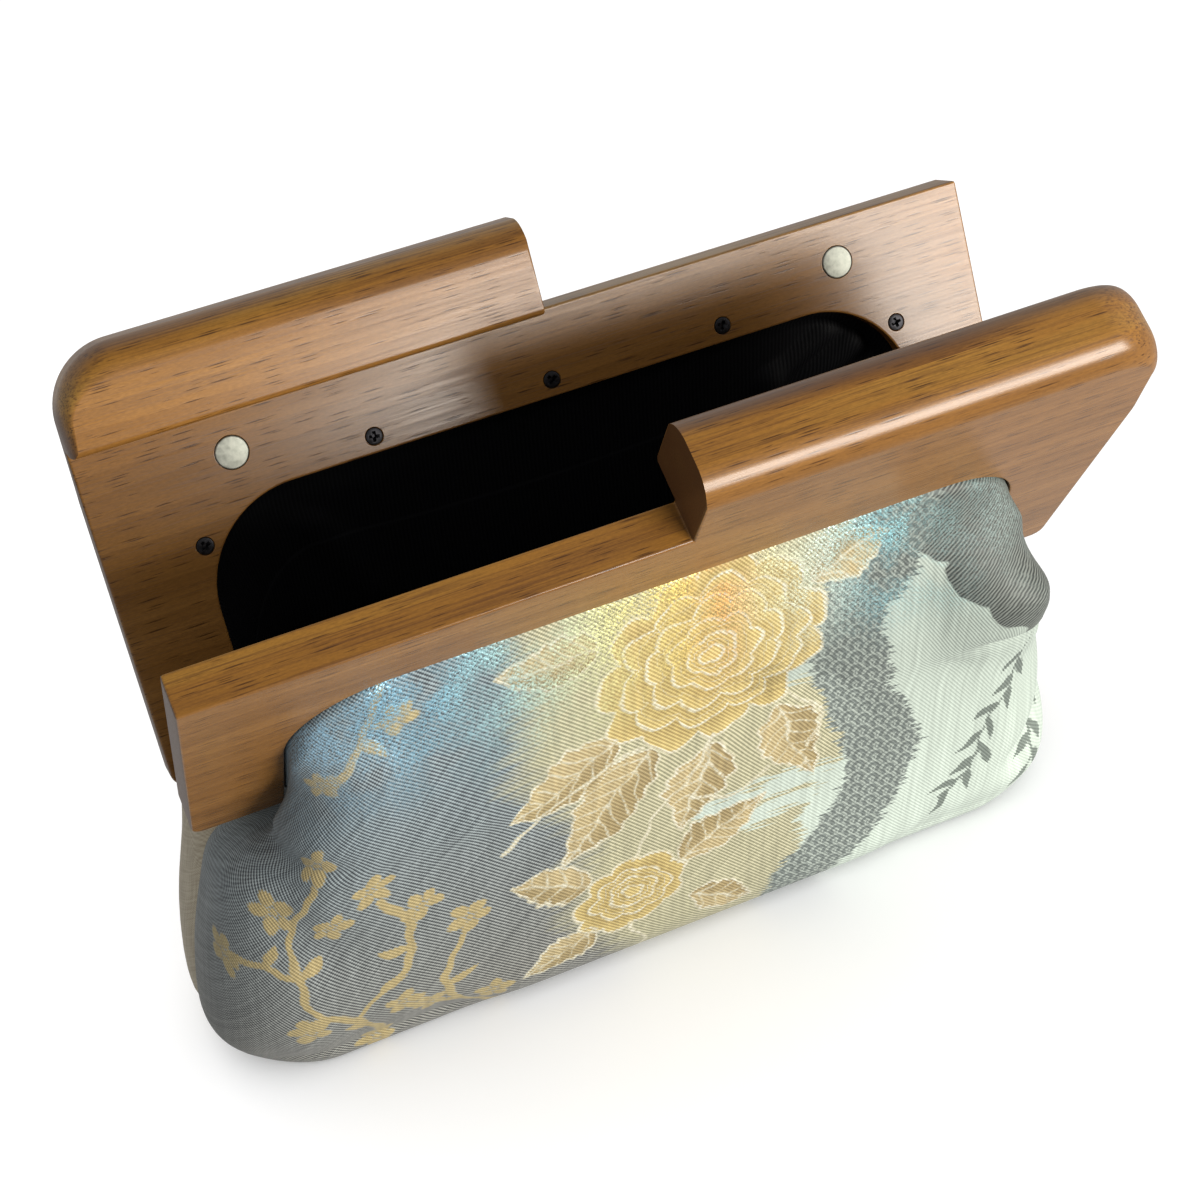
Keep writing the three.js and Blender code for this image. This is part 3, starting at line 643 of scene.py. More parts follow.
head, edge = fittings["screwHead"], fittings["headEdge"]
breakIn, breakDown = fittings["headBreak"]
headRim = [(head, -edge), (head - breakIn, -breakDown), (head - edge, 0.0), (0, 0)]
screwMesh = turnedMesh("crossScrew", screwProfile(0)[:-1] + headRim, fittings["screwSides"])
cutter = bpy.data.objects.new("crossScrew", screwMesh)
bpy.context.scene.collection.objects.link(cutter)
recess = fittings["recess"]
wide, deep, narrow, above = recess["length"] / 2, recess["depth"], recess["floor"] / 2, recess["above"]
for turn in (0.0, 90.0):
    flat = [(-wide, above), (wide, above), (narrow, -deep), (-narrow, -deep)]
    blade = prism("blade", flat, -recess["width"] / 2, recess["width"] / 2, (0, 1, 2))
    blade.data.transform(Matrix.Rotation(math.radians(turn), 4, "Y"))
    carve(cutter, blade, "DIFFERENCE")
screwMesh = cutter.data
bpy.data.objects.remove(cutter)
smoothByAngle(screwMesh, fittings["screwCrease"])
for side, where in halves.items():
    for spot in magnetSpots:
        hand = "left" if (spot[0] < 0) == (side == "front") else "right"
        mesh = magnetMesh.copy()
        mesh.transform(where @ Matrix.Translation((spot[0], innerFace + fittings["magnetProud"], spot[1])))
        piece = newPiece(f"{side}Magnet{hand.title()}", mesh, nickel)
        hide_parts(f"{side}_magnet_{hand}")
        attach(piece, "root")
    for number, spot in enumerate(screwSpots):
        mesh = screwMesh.copy()
        turn = Matrix.Rotation(math.radians(fittings["screwTurns"][number]), 4, "Y")
        mesh.transform(where @ Matrix.Translation((spot[0], innerFace, spot[1])) @ turn)
        piece = newPiece(f"{side}Screw{number + 1}", mesh, blued)
        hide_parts(f"{side}_screw_{number + 1}")
        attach(piece, "root")
print("magnets and screws fitted")

# pouch: level sections from the arch top down to the floor, in mm.
# Sway is how far a section lies to the right of the frame's middle.
pouch = {
    "columns": 386, "rows": 250, "liningColumns": 150, "liningRows": 120,
    "columnStops": ((0.0, 0.08, 0.92, 1.0), (0.0, 0.11, 0.89, 1.0)),  # closer together where the cloth shows
    "rowStops": ((0.0, 0.04, 0.93, 1.0), (0.0, 0.08, 0.84, 1.0)),
    "hemDepth": 8.5, "legEndHem": 0.3, "hemClearance": 0.35, "hemStart": 1.0,
    "lipClearance": 0.7, "lipSwell": 1.2, "lipRecess": 1.0, "lipTurn": (0.75, 1.2), "legEndEase": 18.0,
    "flare": {"push": 9.0, "from": 138.0, "full": 103.0, "foot": 90.0, "front": 8.0, "across": (0.14, 0.3)},
    "pullReach": 16.0, "letGo": 4.0, "shoulderRow": 3, "neckSteps": 48, "bodySteps": 140,
    "liningDepth": 2.0, "seamDent": 1.1, "seamReach": 2.6,
    "foldFadeTop": 5.0, "foldFadeFoot": 7.0,  # folds die out over this much at the lip and at the floor
    "sections": [
        {"height": 174, "halfWidth": 110, "halfDepth": 46.5, "corner": 24, "sway": 0},
        {"height": 138, "halfWidth": 110, "halfDepth": 46.5, "corner": 24, "sway": 0},
        {"height": 110, "halfWidth": 110, "halfDepth": 45.5, "corner": 24, "sway": 0},
        {"height": 101, "halfWidth": 110.5, "halfDepth": 45, "corner": 24, "sway": 0},
        {"height": 94, "halfWidth": 124, "halfDepth": 44.5, "corner": 27, "sway": -1},
        {"height": 86, "halfWidth": 133.5, "halfDepth": 44, "corner": 30, "sway": -2},
        {"height": 70, "halfWidth": 139, "halfDepth": 43, "corner": 32, "sway": -2.5},
        {"height": 45, "halfWidth": 145, "halfDepth": 41, "corner": 32, "sway": -3},
        {"height": 20, "halfWidth": 148, "halfDepth": 38, "corner": 31, "sway": -3},
        {"height": 9, "halfWidth": 145, "halfDepth": 35, "corner": 29, "sway": -3},
        {"height": 3, "halfWidth": 139.5, "halfDepth": 31, "corner": 26, "sway": -3},
        {"height": 0, "halfWidth": 132, "halfDepth": 25.5, "corner": 21, "sway": -3},
        {"height": 0, "halfWidth": 124, "halfDepth": 12.5, "corner": 9, "sway": -3},
        {"height": 0, "halfWidth": 116, "halfDepth": 0.05, "corner": 0.05, "sway": -3},
    ],
}
# swells (push > 0) and dents (push < 0), each along a line from one height to another;
# across runs from the left seam (0) to the right one (1), seen from outside
frontFolds = [
    {"across": 0.83, "height": 134, "toAcross": 0.85, "toHeight": 114, "reach": 16, "push": 8},
    {"across": 0.17, "height": 134, "toAcross": 0.15, "toHeight": 114, "reach": 16, "push": 4},
    {"across": 0.865, "height": 120, "toAcross": 0.88, "toHeight": 102, "reach": 13, "push": 13},
    {"across": 0.94, "height": 52, "toAcross": 0.87, "toHeight": 28, "reach": 9, "push": -5},
    {"across": 0.12, "height": 84, "toAcross": 0.17, "toHeight": 64, "reach": 12, "push": -3},
    {"across": 0.12, "height": 8, "toAcross": 0.26, "toHeight": 6, "reach": 16, "push": -4},
    {"across": 0.86, "height": 8, "toAcross": 0.78, "toHeight": 6, "reach": 14, "push": -2.5},
]
backFolds = [
    {"across": 0.83, "height": 134, "toAcross": 0.85, "toHeight": 114, "reach": 16, "push": 4},
    {"across": 0.88, "height": 104, "toAcross": 0.89, "toHeight": 92, "reach": 14, "push": 5},
    {"across": 0.17, "height": 134, "toAcross": 0.15, "toHeight": 114, "reach": 16, "push": 4},
]

# the slack lining crumples below the back arch's right corner
liningFolds = [
    {"across": 0.19, "height": 158, "toAcross": 0.235, "toHeight": 128, "reach": 4.5, "push": -3.5},
    {"across": 0.225, "height": 160, "toAcross": 0.265, "toHeight": 138, "reach": 4, "push": -2.5},
    {"across": 0.155, "height": 150, "toAcross": 0.2, "toHeight": 118, "reach": 4, "push": -2.5},
    {"across": 0.26, "height": 150, "toAcross": 0.225, "toHeight": 134, "reach": 3.5, "push": -3},
    {"across": 0.75, "height": 150, "toAcross": 0.72, "toHeight": 120, "reach": 6, "push": -2.5},
]


# a smooth curve through a table's values, read at row numbers that need not be whole
def through(values, rows):
    values = np.asarray(values, float)
    slopes = np.gradient(values)
    first = np.clip(np.floor(rows).astype(int), 0, len(values) - 2)
    t = rows - first
    rise, fall = values[first + 1] - values[first], slopes[first + 1]
    return (values[first] + t * slopes[first] + t * t * (3 * rise - 2 * slopes[first] - fall)
            + t * t * t * (slopes[first] + fall - 2 * rise))


def ease(values, start, end):
    t = np.clip((values - start) / (end - start), 0, 1)
    return t * t * (3 - 2 * t)


def sectionAt(rows):
    return {key: through([s[key] for s in pouch["sections"]], rows) for key in pouch["sections"][0]}


# a place on the front of a level section: a round-cornered box from side seam to side seam
def sectionPlace(across, section, facing):
    corner = np.maximum(section["corner"], 0.05)
    sideRun = section["halfDepth"] - corner
    turnRun = corner * math.pi / 2
    halfRun = sideRun + turnRun + section["halfWidth"] - corner
    run = np.minimum(across, 1 - across) * 2 * halfRun
    turn = np.clip((run - sideRun) / corner, 0, math.pi / 2)
    cornerX = section["halfWidth"] - corner + corner * np.cos(turn)
    x = np.where(run < sideRun + turnRun, cornerX, halfRun - run)
    y = np.where(run < sideRun, -run, -sideRun - corner * np.sin(turn))
    side = np.where(across < 0.5, -1.0, 1.0)
    return np.stack([side * x + facing * section["sway"], y, np.broadcast_to(section["height"], x.shape)], -1)


# a place along the arch edge, moved outwards into the board by outset
def archPlace(across, outset):
    run = np.minimum(across, 1 - across) * edgeRun
    turn = np.clip((run - legRun) / halfFrame["archCorner"], 0, math.pi / 2)
    reach = halfFrame["archCorner"] + outset
    onLeg, onTop = run < legRun, run > legRun + cornerRun
    aboveLegX = np.where(onTop, edgeRun / 2 - run, halfTopRun + reach * np.cos(turn))
    aboveLegUp = np.where(onTop, halfFrame["archHeight"] + outset, legRun + reach * np.sin(turn))
    x = np.where(onLeg, halfFrame["archHalfWidth"] + outset, aboveLegX)
    legUp = pouch["hemStart"] + (legRun - pouch["hemStart"]) * run / legRun
    up = np.where(onLeg, legUp, aboveLegUp)
    return np.where(across < 0.5, -x, x), up


def onFrontHalf(x, y, up):
    z = up + halfFrame["hingeDrop"]
    turn = math.radians(halfFrame["lean"])
    sin, cos = math.sin(turn), math.cos(turn)
    return np.stack([x, y * cos - z * sin, halfFrame["hingeHeight"] + y * sin + z * cos], -1)


# the panel's strips, from the hem in the groove over the lip and down to the bottom seam
def panelStrips(across, facing):
    run = np.minimum(across, 1 - across) * edgeRun
    clear = ease(run, 0, pouch["legEndEase"])
    overTop = ease(run, legRun + pouch["lipTurn"][0] * cornerRun, legRun + pouch["lipTurn"][1] * cornerRun)
    hemY = np.full_like(across, grooveFront + pouch["hemClearance"])
    lipFront = outerFace - pouch["lipSwell"] + (pouch["lipSwell"] + pouch["lipRecess"]) * overTop
    lipY = grooveFront + (lipFront - grooveFront) * clear
    hemShare = pouch["legEndHem"] + (1 - pouch["legEndHem"]) * clear
    hemX, hemUp = archPlace(across, pouch["hemDepth"] * hemShare)
    mouthX, mouthUp = archPlace(across, -pouch["lipClearance"] / 2)
    lipX, lipUp = archPlace(across, -pouch["lipClearance"])
    lip = onFrontHalf(lipX, lipY, lipUp)
    strip = [onFrontHalf(hemX, hemY, hemUp), onFrontHalf(mouthX, hemY, mouthUp), lip]
    heights = [s["height"] for s in pouch["sections"]]
    shoulder = pouch["shoulderRow"]

    # under the lip the cloth lets go of the arch and comes to the pouch's own section
    def neckPlace(height):
        rows = np.interp(height, heights[shoulder::-1], np.arange(shoulder, -1, -1))
        return sectionPlace(across, {**sectionAt(rows), "height": height}, facing)

    pull = lip - neckPlace(lip[:, 2])
    drop = lip[:, 2] - heights[shoulder]
    for part in np.linspace(0, 1, pouch["neckSteps"] + 1)[1:]:
        hold = np.exp(-((part * drop / pouch["pullReach"]) ** 2) - pouch["letGo"] * part * part)
        strip.append(neckPlace(lip[:, 2] - part * drop) + pull * hold[:, None])
    for row in np.linspace(shoulder, len(heights) - 1, pouch["bodySteps"] + 1)[1:]:
        section = sectionAt(np.full_like(across, row))
        section["height"] = np.maximum(section["height"], 0)
        strip.append(sectionPlace(across, section, facing))
    return np.stack(strip, 1)


# the same strips with evenly spaced rows, and each place's run down from the lip
def evenRows(strips, rows):
    even, fromLip = [], []
    for strip in strips:
        runs = np.concatenate([[0], np.cumsum(np.linalg.norm(np.diff(strip, axis=0), axis=1))])
        stops = np.interp(np.linspace(0, 1, rows), *pouch["rowStops"]) * runs[-1]
        even.append(np.stack([np.interp(stops, runs, strip[:, k]) for k in range(3)], -1))
        fromLip.append(stops - runs[2])
    return np.array(even), np.array(fromLip)


def outwardOf(grid):
    outward = np.cross(np.gradient(grid, axis=1), np.gradient(grid, axis=0))
    outward[[0, -1], :, 1] = 0
    return outward / np.maximum(np.linalg.norm(outward, axis=2, keepdims=True), 1e-9)


# sum of the swells and dents at each place, in mm outwards
def foldPush(folds, across, heights):
    push = np.zeros_like(heights)
    for fold in folds:
        start = np.array([fold["across"] * edgeRun, fold["height"]])
        line = np.array([fold["toAcross"] * edgeRun, fold["toHeight"]]) - start
        place = np.stack([np.broadcast_to(across[:, None] * edgeRun, heights.shape), heights], -1) - start
        t = np.clip(place @ line / max(line @ line, 1e-9), 0, 1)
        away = np.linalg.norm(place - t[..., None] * line, axis=2)
        push += fold["push"] * np.exp(-((away / fold["reach"]) ** 2))
    return push


# the front's left neck widens downwards in front of the leg, and runs out into the shoulder
def flareShare(across, grid):
    flare = pouch["flare"]
    lean = math.radians(halfFrame["lean"])
    y, z = grid[..., 1], grid[..., 2]
    # mm in front of the board's outer face
    ahead = outerFace - y * math.cos(lean) - (z - halfFrame["hingeHeight"]) * math.sin(lean)
    widening = ease(z, flare["from"], flare["full"]) * ease(z, flare["foot"], flare["full"])
    return widening * ease(ahead, 0, flare["front"]) * (1 - ease(across, *flare["across"]))[:, None]


def panelGrid(columns, rows, facing, folds, flare=0.0):
    across = np.interp(np.linspace(0, 1, columns), *pouch["columnStops"])
    grid, fromLip = evenRows(panelStrips(across, facing), rows)
    push = foldPush(folds, across, grid[..., 2])
    seamRun = np.minimum(across, 1 - across)[:, None] * edgeRun
    push = push - pouch["seamDent"] * np.exp(-((seamRun / pouch["seamReach"]) ** 2))
    push = push * ease(fromLip, 0, pouch["foldFadeTop"]) * ease(grid[..., 2], 0, pouch["foldFadeFoot"])
    grid = grid + outwardOf(grid) * push[..., None]
    grid[..., 0] -= flare * flareShare(across, grid)
    return grid


# cloth coordinates in metres: across from the middle column, up from the bottom seam
def clothRuns(grid):
    stepsAcross = np.linalg.norm(np.diff(grid, axis=0), axis=2)
    across = np.concatenate([np.zeros((1, grid.shape[1])), np.cumsum(stepsAcross, 0)], 0)
    across = across - across[grid.shape[0] // 2]
    stepsUp = np.linalg.norm(np.diff(grid, axis=1), axis=2)[:, ::-1]
    up = np.concatenate([np.zeros((grid.shape[0], 1)), np.cumsum(stepsUp, 1)], 1)[:, ::-1]
    return across * mm, up * mm


def clothMesh(name, grid, runs):
    columns, rows = grid.shape[:2]
    index = np.arange(columns * rows).reshape(columns, rows)
    quads = np.stack([index[:-1, :-1], index[:-1, 1:], index[1:, 1:], index[1:, :-1]], -1).reshape(-1, 4)
    mesh = bpy.data.meshes.new(name)
    mesh.vertices.add(columns * rows)
    mesh.vertices.foreach_set("co", (grid.reshape(-1, 3) * mm).astype(np.float32).ravel())
    mesh.loops.add(quads.size)
    mesh.loops.foreach_set("vertex_index", quads.astype(np.int32).ravel())
    mesh.polygons.add(len(quads))
    mesh.polygons.foreach_set("loop_start", np.arange(0, quads.size, 4, dtype=np.int32))
    layer = mesh.uv_layers.new(name="cloth")
    uv = np.stack([run.ravel()[quads.ravel()] for run in runs], -1)
    layer.data.foreach_set("uv", uv.astype(np.float32).ravel())
    mesh.update(calc_edges=True)
    mesh.validate()
    mesh.shade_smooth()
    return mesh


# figured cloth, woven: blue-grey, tan and celadon grounds of two threads each, in slanting ribs.
# The figures are sprays, two blooms, leaves, mist bands, willow and a wave-scale stream, drawn in mm on the
# flat cloth: u runs right from the panel's middle, v runs up from the bottom seam.
figures = {
    "tanFrom": [(230, -54), (190, -46), (150, -52), (110, -30), (75, -36), (30, -14)],
    "celadonFrom": [(230, 50), (195, 66), (160, 42), (120, 64), (80, 40), (30, 52)],
    "celadonMist": [(8, 70, 99, 5.0), (22, 84, 89, 3.8), (24, 60, 150, 4.2)],
    "greyMist": [  # start u, end u, v, half height
        (92, 190, 222, 17.0), (86, 190, 200, 14.0), (97, 190, 184, 12.0), (109, 190, 171, 10.0),
        (125, 190, 160, 7.0),
    ],
    "stream": [(72, 224), (66, 196), (54, 166), (58, 134), (70, 104), (62, 72), (46, 48), (40, 20)],
    "streamHalfWidth": 12.0, "scaleRadius": 5.6, "scaleRings": 2,
    "bloom": {"u": 10.0, "v": 168.0, "radii": (35.0, 28.0, 21.0, 14.0, 8.0, 3.6),
              "lobes": (11, 10, 9, 7, 6, 5), "turns": (0.2, 0.9, 0.5, 1.3, 0.0, 0.7)},
    "smallBloom": {"u": -16.0, "v": 72.0, "radii": (18.0, 12.5, 7.5, 3.2),
                   "lobes": (9, 8, 6, 5), "turns": (0.4, 1.1, 0.3, 0.8)},
    "leaves": [  # base u, base v, turn in degrees, length, half width
        (-20, 148, 206, 40, 11), (-12, 138, 238, 46, 12), (10, 130, 256, 38, 10.5), (30, 138, 292, 40, 10),
        (-24, 186, 168, 32, 9), (42, 186, 30, 28, 8), (-30, 84, 146, 30, 8), (0, 80, 32, 34, 9),
        (-28, 60, 204, 27, 8), (4, 58, 330, 26, 7),
    ],
    "stems": [  # gold stems, as points from root to tip
        [(-96, 30), (-104, 62), (-122, 88), (-126, 118), (-118, 142)],
        [(-108, 70), (-92, 84), (-86, 104), (-96, 122)],
        [(-60, 34), (-74, 52), (-78, 72), (-70, 88)],
        [(-124, 100), (-136, 108), (-146, 104)],
        [(-88, 214), (-94, 196), (-108, 184)],
    ],
    "blossoms": [  # u, v, petal length, turn in degrees
        (-118, 150, 6.4, 10), (-132, 127, 6.0, 40), (-111, 120, 5.4, 70), (-97, 130, 6.2, 20),
        (-83, 112, 5.8, 55), (-124, 75, 6.0, 30), (-91, 66, 5.4, 5), (-69, 96, 5.8, 62), (-84, 58, 5.0, 33),
        (-150, 102, 5.6, 12), (-102, 46, 5.6, 48), (-113, 185, 5.2, 20),
        (-83, 200, 5.0, 44), (-62, 50, 5.0, 9),
    ],
    "sprigLeaves": [  # small gold leaves on the stems
        (-104, 62, 150, 11, 2.6), (-116, 80, 200, 12, 2.8), (-124, 100, 40, 11, 2.6), (-100, 78, 20, 10, 2.4),
        (-88, 94, 150, 11, 2.6), (-72, 50, 160, 10, 2.4), (-77, 66, 20, 9, 2.3), (-134, 108, 80, 9, 2.2),
        (-94, 196, 300, 10, 2.4),
    ],
    "willow": [  # hanging grey sprays, as points from the top down
        [(120, 142), (117, 120), (108, 100), (104, 80), (93, 66)],
        [(152, 118), (150, 96), (141, 80), (136, 62)],
    ],
    "willowLeaf": {"step": 6.5, "length": 13.0, "halfWidth": 1.7, "spread": 32.0},
    "tendrils": [  # cream stems between the blooms and leaves
        [(10, 134), (2, 116), (-10, 104), (-14, 88)], [(-14, 140), (-40, 132), (-56, 118)],
        [(-16, 56), (-12, 42), (-18, 24)], [(34, 142), (46, 128), (44, 114)],
        [(4, 108), (20, 104), (30, 110)],
    ],
    "stemHalfWidth": 1.35, "willowHalfWidth": 0.5, "tendrilHalfWidth": 0.7,
}


def curveThrough(points, steps=12):
    points = np.asarray(points, float)
    rows = np.linspace(0, len(points) - 1, steps * (len(points) - 1) + 1)
    return np.stack([through(points[:, k], rows) for k in range(2)], -1)


def pathAway(u, v, points):
    nearest = np.full(u.shape, 1e9)
    for (au, av), (bu, bv) in zip(points, points[1:]):
        du, dv = bu - au, bv - av
        t = np.clip(((u - au) * du + (v - av) * dv) / max(du * du + dv * dv, 1e-9), 0, 1)
        nearest = np.minimum(nearest, np.hypot(u - au - t * du, v - av - t * dv))
    return nearest


# turns and moves cloth coordinates to a motif's own: s along it, t across it
def turned(u, v, cu, cv, degrees):
    sin, cos = math.sin(math.radians(degrees)), math.cos(math.radians(degrees))
    return (u - cu) * cos + (v - cv) * sin, (v - cv) * cos - (u - cu) * sin


# signed distances in mm, below zero inside the shape; a leaf is fullest below its middle and finely toothed
def leafAway(u, v, baseU, baseV, degrees, length, halfWidth):
    s, t = turned(u, v, baseU, baseV, degrees)
    share = np.clip(s / length, 0, 1)
    edge = halfWidth * np.sin(math.pi * share ** 0.75) * (1 + 0.08 * np.sin(share * 40))
    return np.maximum(np.abs(t) - edge, np.maximum(-s, s - length))


# a round heart and five petals
def blossomAway(u, v, cu, cv, petal, degrees):
    away = np.hypot(u - cu, v - cv) - 0.22 * petal
    for k in range(5):
        s, t = turned(u, v, cu, cv, degrees + 72 * k)
        long, wide = 0.5 * petal, 0.42 * petal
        away = np.minimum(away, (np.hypot((s - 0.78 * petal) / long, t / wide) - 1) * wide)
    return away


# rows of petals: each ring bulges between its lobes, and leans a little to one side
def bloomRings(u, v, bloom):
    r, turn = np.hypot(u - bloom["u"], v - bloom["v"]), np.arctan2(v - bloom["v"], u - bloom["u"])
    rings = []
    for radius, lobes, start in zip(bloom["radii"], bloom["lobes"], bloom["turns"]):
        bulge = 0.17 * np.abs(np.sin(lobes * turn / 2 + start)) ** 0.7
        rings.append(r - radius * (0.86 + bulge + 0.05 * np.sin(2 * turn + start)))
    return rings


def mistAway(u, v, bands):
    away = np.full(u.shape, 1e9)
    for start, end, level, half in bands:
        away = np.minimum(away, np.hypot(u - np.clip(u, start, end), v - level) - half)
    return away


def edgeAt(v, stops):
    levels, places = np.array(stops[::-1], float).T
    return np.interp(v, levels, places)


# the figures' outlines waver a little, as a drawing that was punched thread by thread does
def wavered(u, v):
    return (u + 1.3 * np.sin(v / 5.1 + 0.6) * np.sin(u / 8.3) + 0.5 * np.sin(v / 1.9 + u / 2.7),
            v + 1.3 * np.sin(u / 6.1 + 1.9) * np.sin(v / 9.7 + 0.4) + 0.5 * np.sin(u / 2.1 - v / 3.3))


def figureFields(u, v):
    u, v = wavered(u, v)
    tan = u - edgeAt(v, figures["tanFrom"])
    celadon = np.maximum(u - edgeAt(v, figures["celadonFrom"]), -mistAway(u, v, figures["celadonMist"]))
    grey = -mistAway(u, v, figures["greyMist"])
    stream = pathAway(u, v, curveThrough(figures["stream"])) - figures["streamHalfWidth"]
    gold = np.full(u.shape, 1e9)
    for stem in figures["stems"]:
        gold = np.minimum(gold, pathAway(u, v, curveThrough(stem)) - figures["stemHalfWidth"])
    for blossom in figures["blossoms"]:
        gold = np.minimum(gold, blossomAway(u, v, *blossom))
    for leaf in figures["sprigLeaves"]:
        gold = np.minimum(gold, leafAway(u, v, *leaf))
    leaves = np.full(u.shape, 1e9)
    for leaf in figures["leaves"]:
        leaves = np.minimum(leaves, leafAway(u, v, *leaf))
    ribs = np.full(u.shape, 1e9)  # midribs and side veins of the leaves
    leafShade = np.zeros(u.shape)
    for baseU, baseV, degrees, length, halfWidth in figures["leaves"]:
        s, t = turned(u, v, baseU, baseV, degrees)
        inside = leafAway(u, v, baseU, baseV, degrees, length, halfWidth)
        side = np.abs((s - 0.8 * np.abs(t)) % 6.0 - 3.0)  # a side vein every 6 mm
        ribs = np.minimum(ribs, np.maximum(np.minimum(np.abs(t) - 0.5, side - 0.45), inside + 0.8))
        leafShade = np.where(inside < 1.0, ease(t, -halfWidth * 0.5, halfWidth * 0.5), leafShade)
    for tendril in figures["tendrils"]:
        ribs = np.minimum(ribs, pathAway(u, v, curveThrough(tendril)) - figures["tendrilHalfWidth"])
    blooms = bloomRings(u, v, figures["bloom"])
    small = bloomRings(u, v, figures["smallBloom"])
    bloom = np.minimum(blooms[0], small[0])
    petalShade = np.zeros(u.shape)  # each petal row is darkest where the next row lies over it
    for rings in (blooms, small):
        for outer, inner in zip(rings, rings[1:]):
            between = np.clip(inner / np.maximum(inner - outer, 0.1), 0, 1)
            petalShade = np.where((outer < 0) & (inner > 0), 1 - between, petalShade)
    ringLine = np.full(u.shape, 1e9)
    for ring in blooms[1:] + small[1:]:
        ringLine = np.where(np.abs(ring) < np.abs(ringLine), ring, ringLine)
    willow = np.full(u.shape, 1e9)
    slim = figures["willowLeaf"]
    for spray in figures["willow"]:
        path = curveThrough(spray)
        willow = np.minimum(willow, pathAway(u, v, path) - figures["willowHalfWidth"])
        runs = np.concatenate([[0], np.cumsum(np.hypot(*np.diff(path, axis=0).T))])
        for number, stop in enumerate(np.arange(slim["step"], runs[-1], slim["step"])):
            baseU, nextU = np.interp((stop, stop + 1), runs, path[:, 0])
            baseV, nextV = np.interp((stop, stop + 1), runs, path[:, 1])
            way = math.degrees(math.atan2(nextV - baseV, nextU - baseU))
            way += slim["spread"] * (1 if number % 2 else -1)
            willow = np.minimum(willow, leafAway(u, v, baseU, baseV, way, slim["length"], slim["halfWidth"]))
    return {"grounds": (tan, celadon, grey), "goldWork": (gold, leaves, ribs),
            "bloomWork": (bloom, ringLine, stream), "darkWork": (willow, petalShade, leafShade)}


# jacquard weave: silk-like ground threads in steep 1.1 mm twill ribs with flat figure threads and tinsel;
# the eye sees pale and dark slanting lines, matt figures and many-coloured sparkle high under the frame,
# painted in as highlight
brocade = {
    "ribPitch": 1.1, "ribTurn": 50.0, "stitchPitch": 0.9, "slub": (9.0, 1.1), "comb": (16.0, 1.3),  # mm
    "warpStreak": (1.6, 38.0), "warpLevels": (0.84, 1.08), "stitchDepth": 0.5, "slubDepth": 2.0,
    "threadFrom": (0.4, 1.7), "feather": 6.0,
    "edgeStep": 0.22, "edgeHalf": 0.18, "ringHalf": 0.55, "rimHalf": 0.6,  # mm
    # each ground's edge: how much of the comb it takes, and half the width it fades over
    "groundEdges": (("tan", 1.0, 8.0), ("celadon", 1.0, 0.5), ("grey", 0.08, 0.4)), "streamEdge": (0.5, 0.4),
    "blue": ("#8c9a9f", "#343c43"), "ashFrom": (165.0, 55.0),
    "layers": [  # pale and dark threads, each layer woven over those before it
        ("ash", "#94958f", "#3b3c3b"), ("tan", "#b9b598", "#7d7c62"), ("celadon", "#b4c0b6", "#a6b2a9"),
        ("grey", "#7d837d", "#2f3432"), ("stream", "#98a19a", "#737c77"), ("scales", "#69716e", "#545c59"),
        ("leaves", "#b8aa84", "#93835c"), ("leafFolds", "#9d8d66", "#7d6d48"),
        ("bloom", "#c9b87e", "#a18d56"), ("petalFolds", "#ab985f", "#857244"),
        ("lines", "#cbc8b6", "#aba68e"), ("gold", "#afa075", "#8c7d54"), ("willow", "#717b74", "#59625c"),
    ],
    # painted light on the celadon ground: its level low and high up the cloth
    "celadonPaintedBounce": ((60.0, 1.12), (150.0, 0.76)),
    # the tinsel's painted highlight colours, changing across the cloth
    "paintedGlintColours": (
        (0.0, "#7d9fb4"), (0.16, "#6d9bb0"), (0.27, "#93b5b5"), (0.4, "#c4c38c"),
        (0.5, "#d2bb6c"), (0.56, "#cd9c5e"), (0.62, "#bfb98f"), (0.7, "#b0beb2"),
        (0.78, "#76a4ac"), (0.86, "#86aeb0"), (1.0, "#9db3ae")),
    # where the painted glints lie and how they look: across, in grain and patches, up the panel; gapShade is
    # painted shade between them, the fleck level a painted highlight
    "paintedGlintSpan": (-110.0, 110.0), "tinselAndPaintedGlintGrain": 0.8, "paintedGlintPatch": 16.0, "paintedGlintHeights": (108, 168),
    "gapShade": 0.72, "paintedFleckGlint": 1.5, "greyDull": 0.25,
    "roughness": (0.62, 0.36), "metallic": (0.0, 0.45),  # of plain threads and of tinsel
    "lineRelief": 1.5, "sparkRelief": 1.2, "relief": 0.5, "reliefHeight": 0.12, "sheen": (0.06, 0.4),
}
figured, tree = newMaterial("figuredJacquard")
clothPlace = addNode(tree, "UVMap", uv_map="cloth")
inMm = addNode(tree, "VectorMath", {0: clothPlace, 1: (1 / mm, 1 / mm, 0.0)}, operation="MULTIPLY")
runs = addNode(tree, "SeparateXYZ", {0: inMm})
ribTurn = math.radians(brocade["ribTurn"])
ribSin, ribCos = math.sin(ribTurn), math.cos(ribTurn)
# woven shading: tan fades in over a few threads, celadon runs out in rib-wide combs,
# the grey mist has a clean edge
combSize = (1 / brocade["comb"][0], 1 / brocade["comb"][1], 0.0)
combPlace = addNode(tree, "VectorMath", {0: inMm, 1: combSize}, operation="MULTIPLY")
comb = addNode(tree, "TexNoise", {"Vector": combPlace, "Scale": 1.0, "Detail": 2.0})
feather = brocade["feather"]
combShift = addNode(tree, "MapRange", {0: comb, 1: 0.25, 2: 0.75, 3: -feather, 4: feather})
masks = {}
groundRead = addNode(tree, "Attribute", attribute_name="grounds")
groundParts = addNode(tree, "SeparateXYZ", {0: groundRead.outputs["Vector"]})
for k, (name, combed, fade) in enumerate(brocade["groundEdges"]):
    moved = addNode(tree, "Math", {
        0: combShift, 1: combed, 2: groundParts.outputs[k]}, operation="MULTIPLY_ADD")
    masks[name] = addNode(tree, "MapRange", {0: moved, 1: -fade, 2: fade})
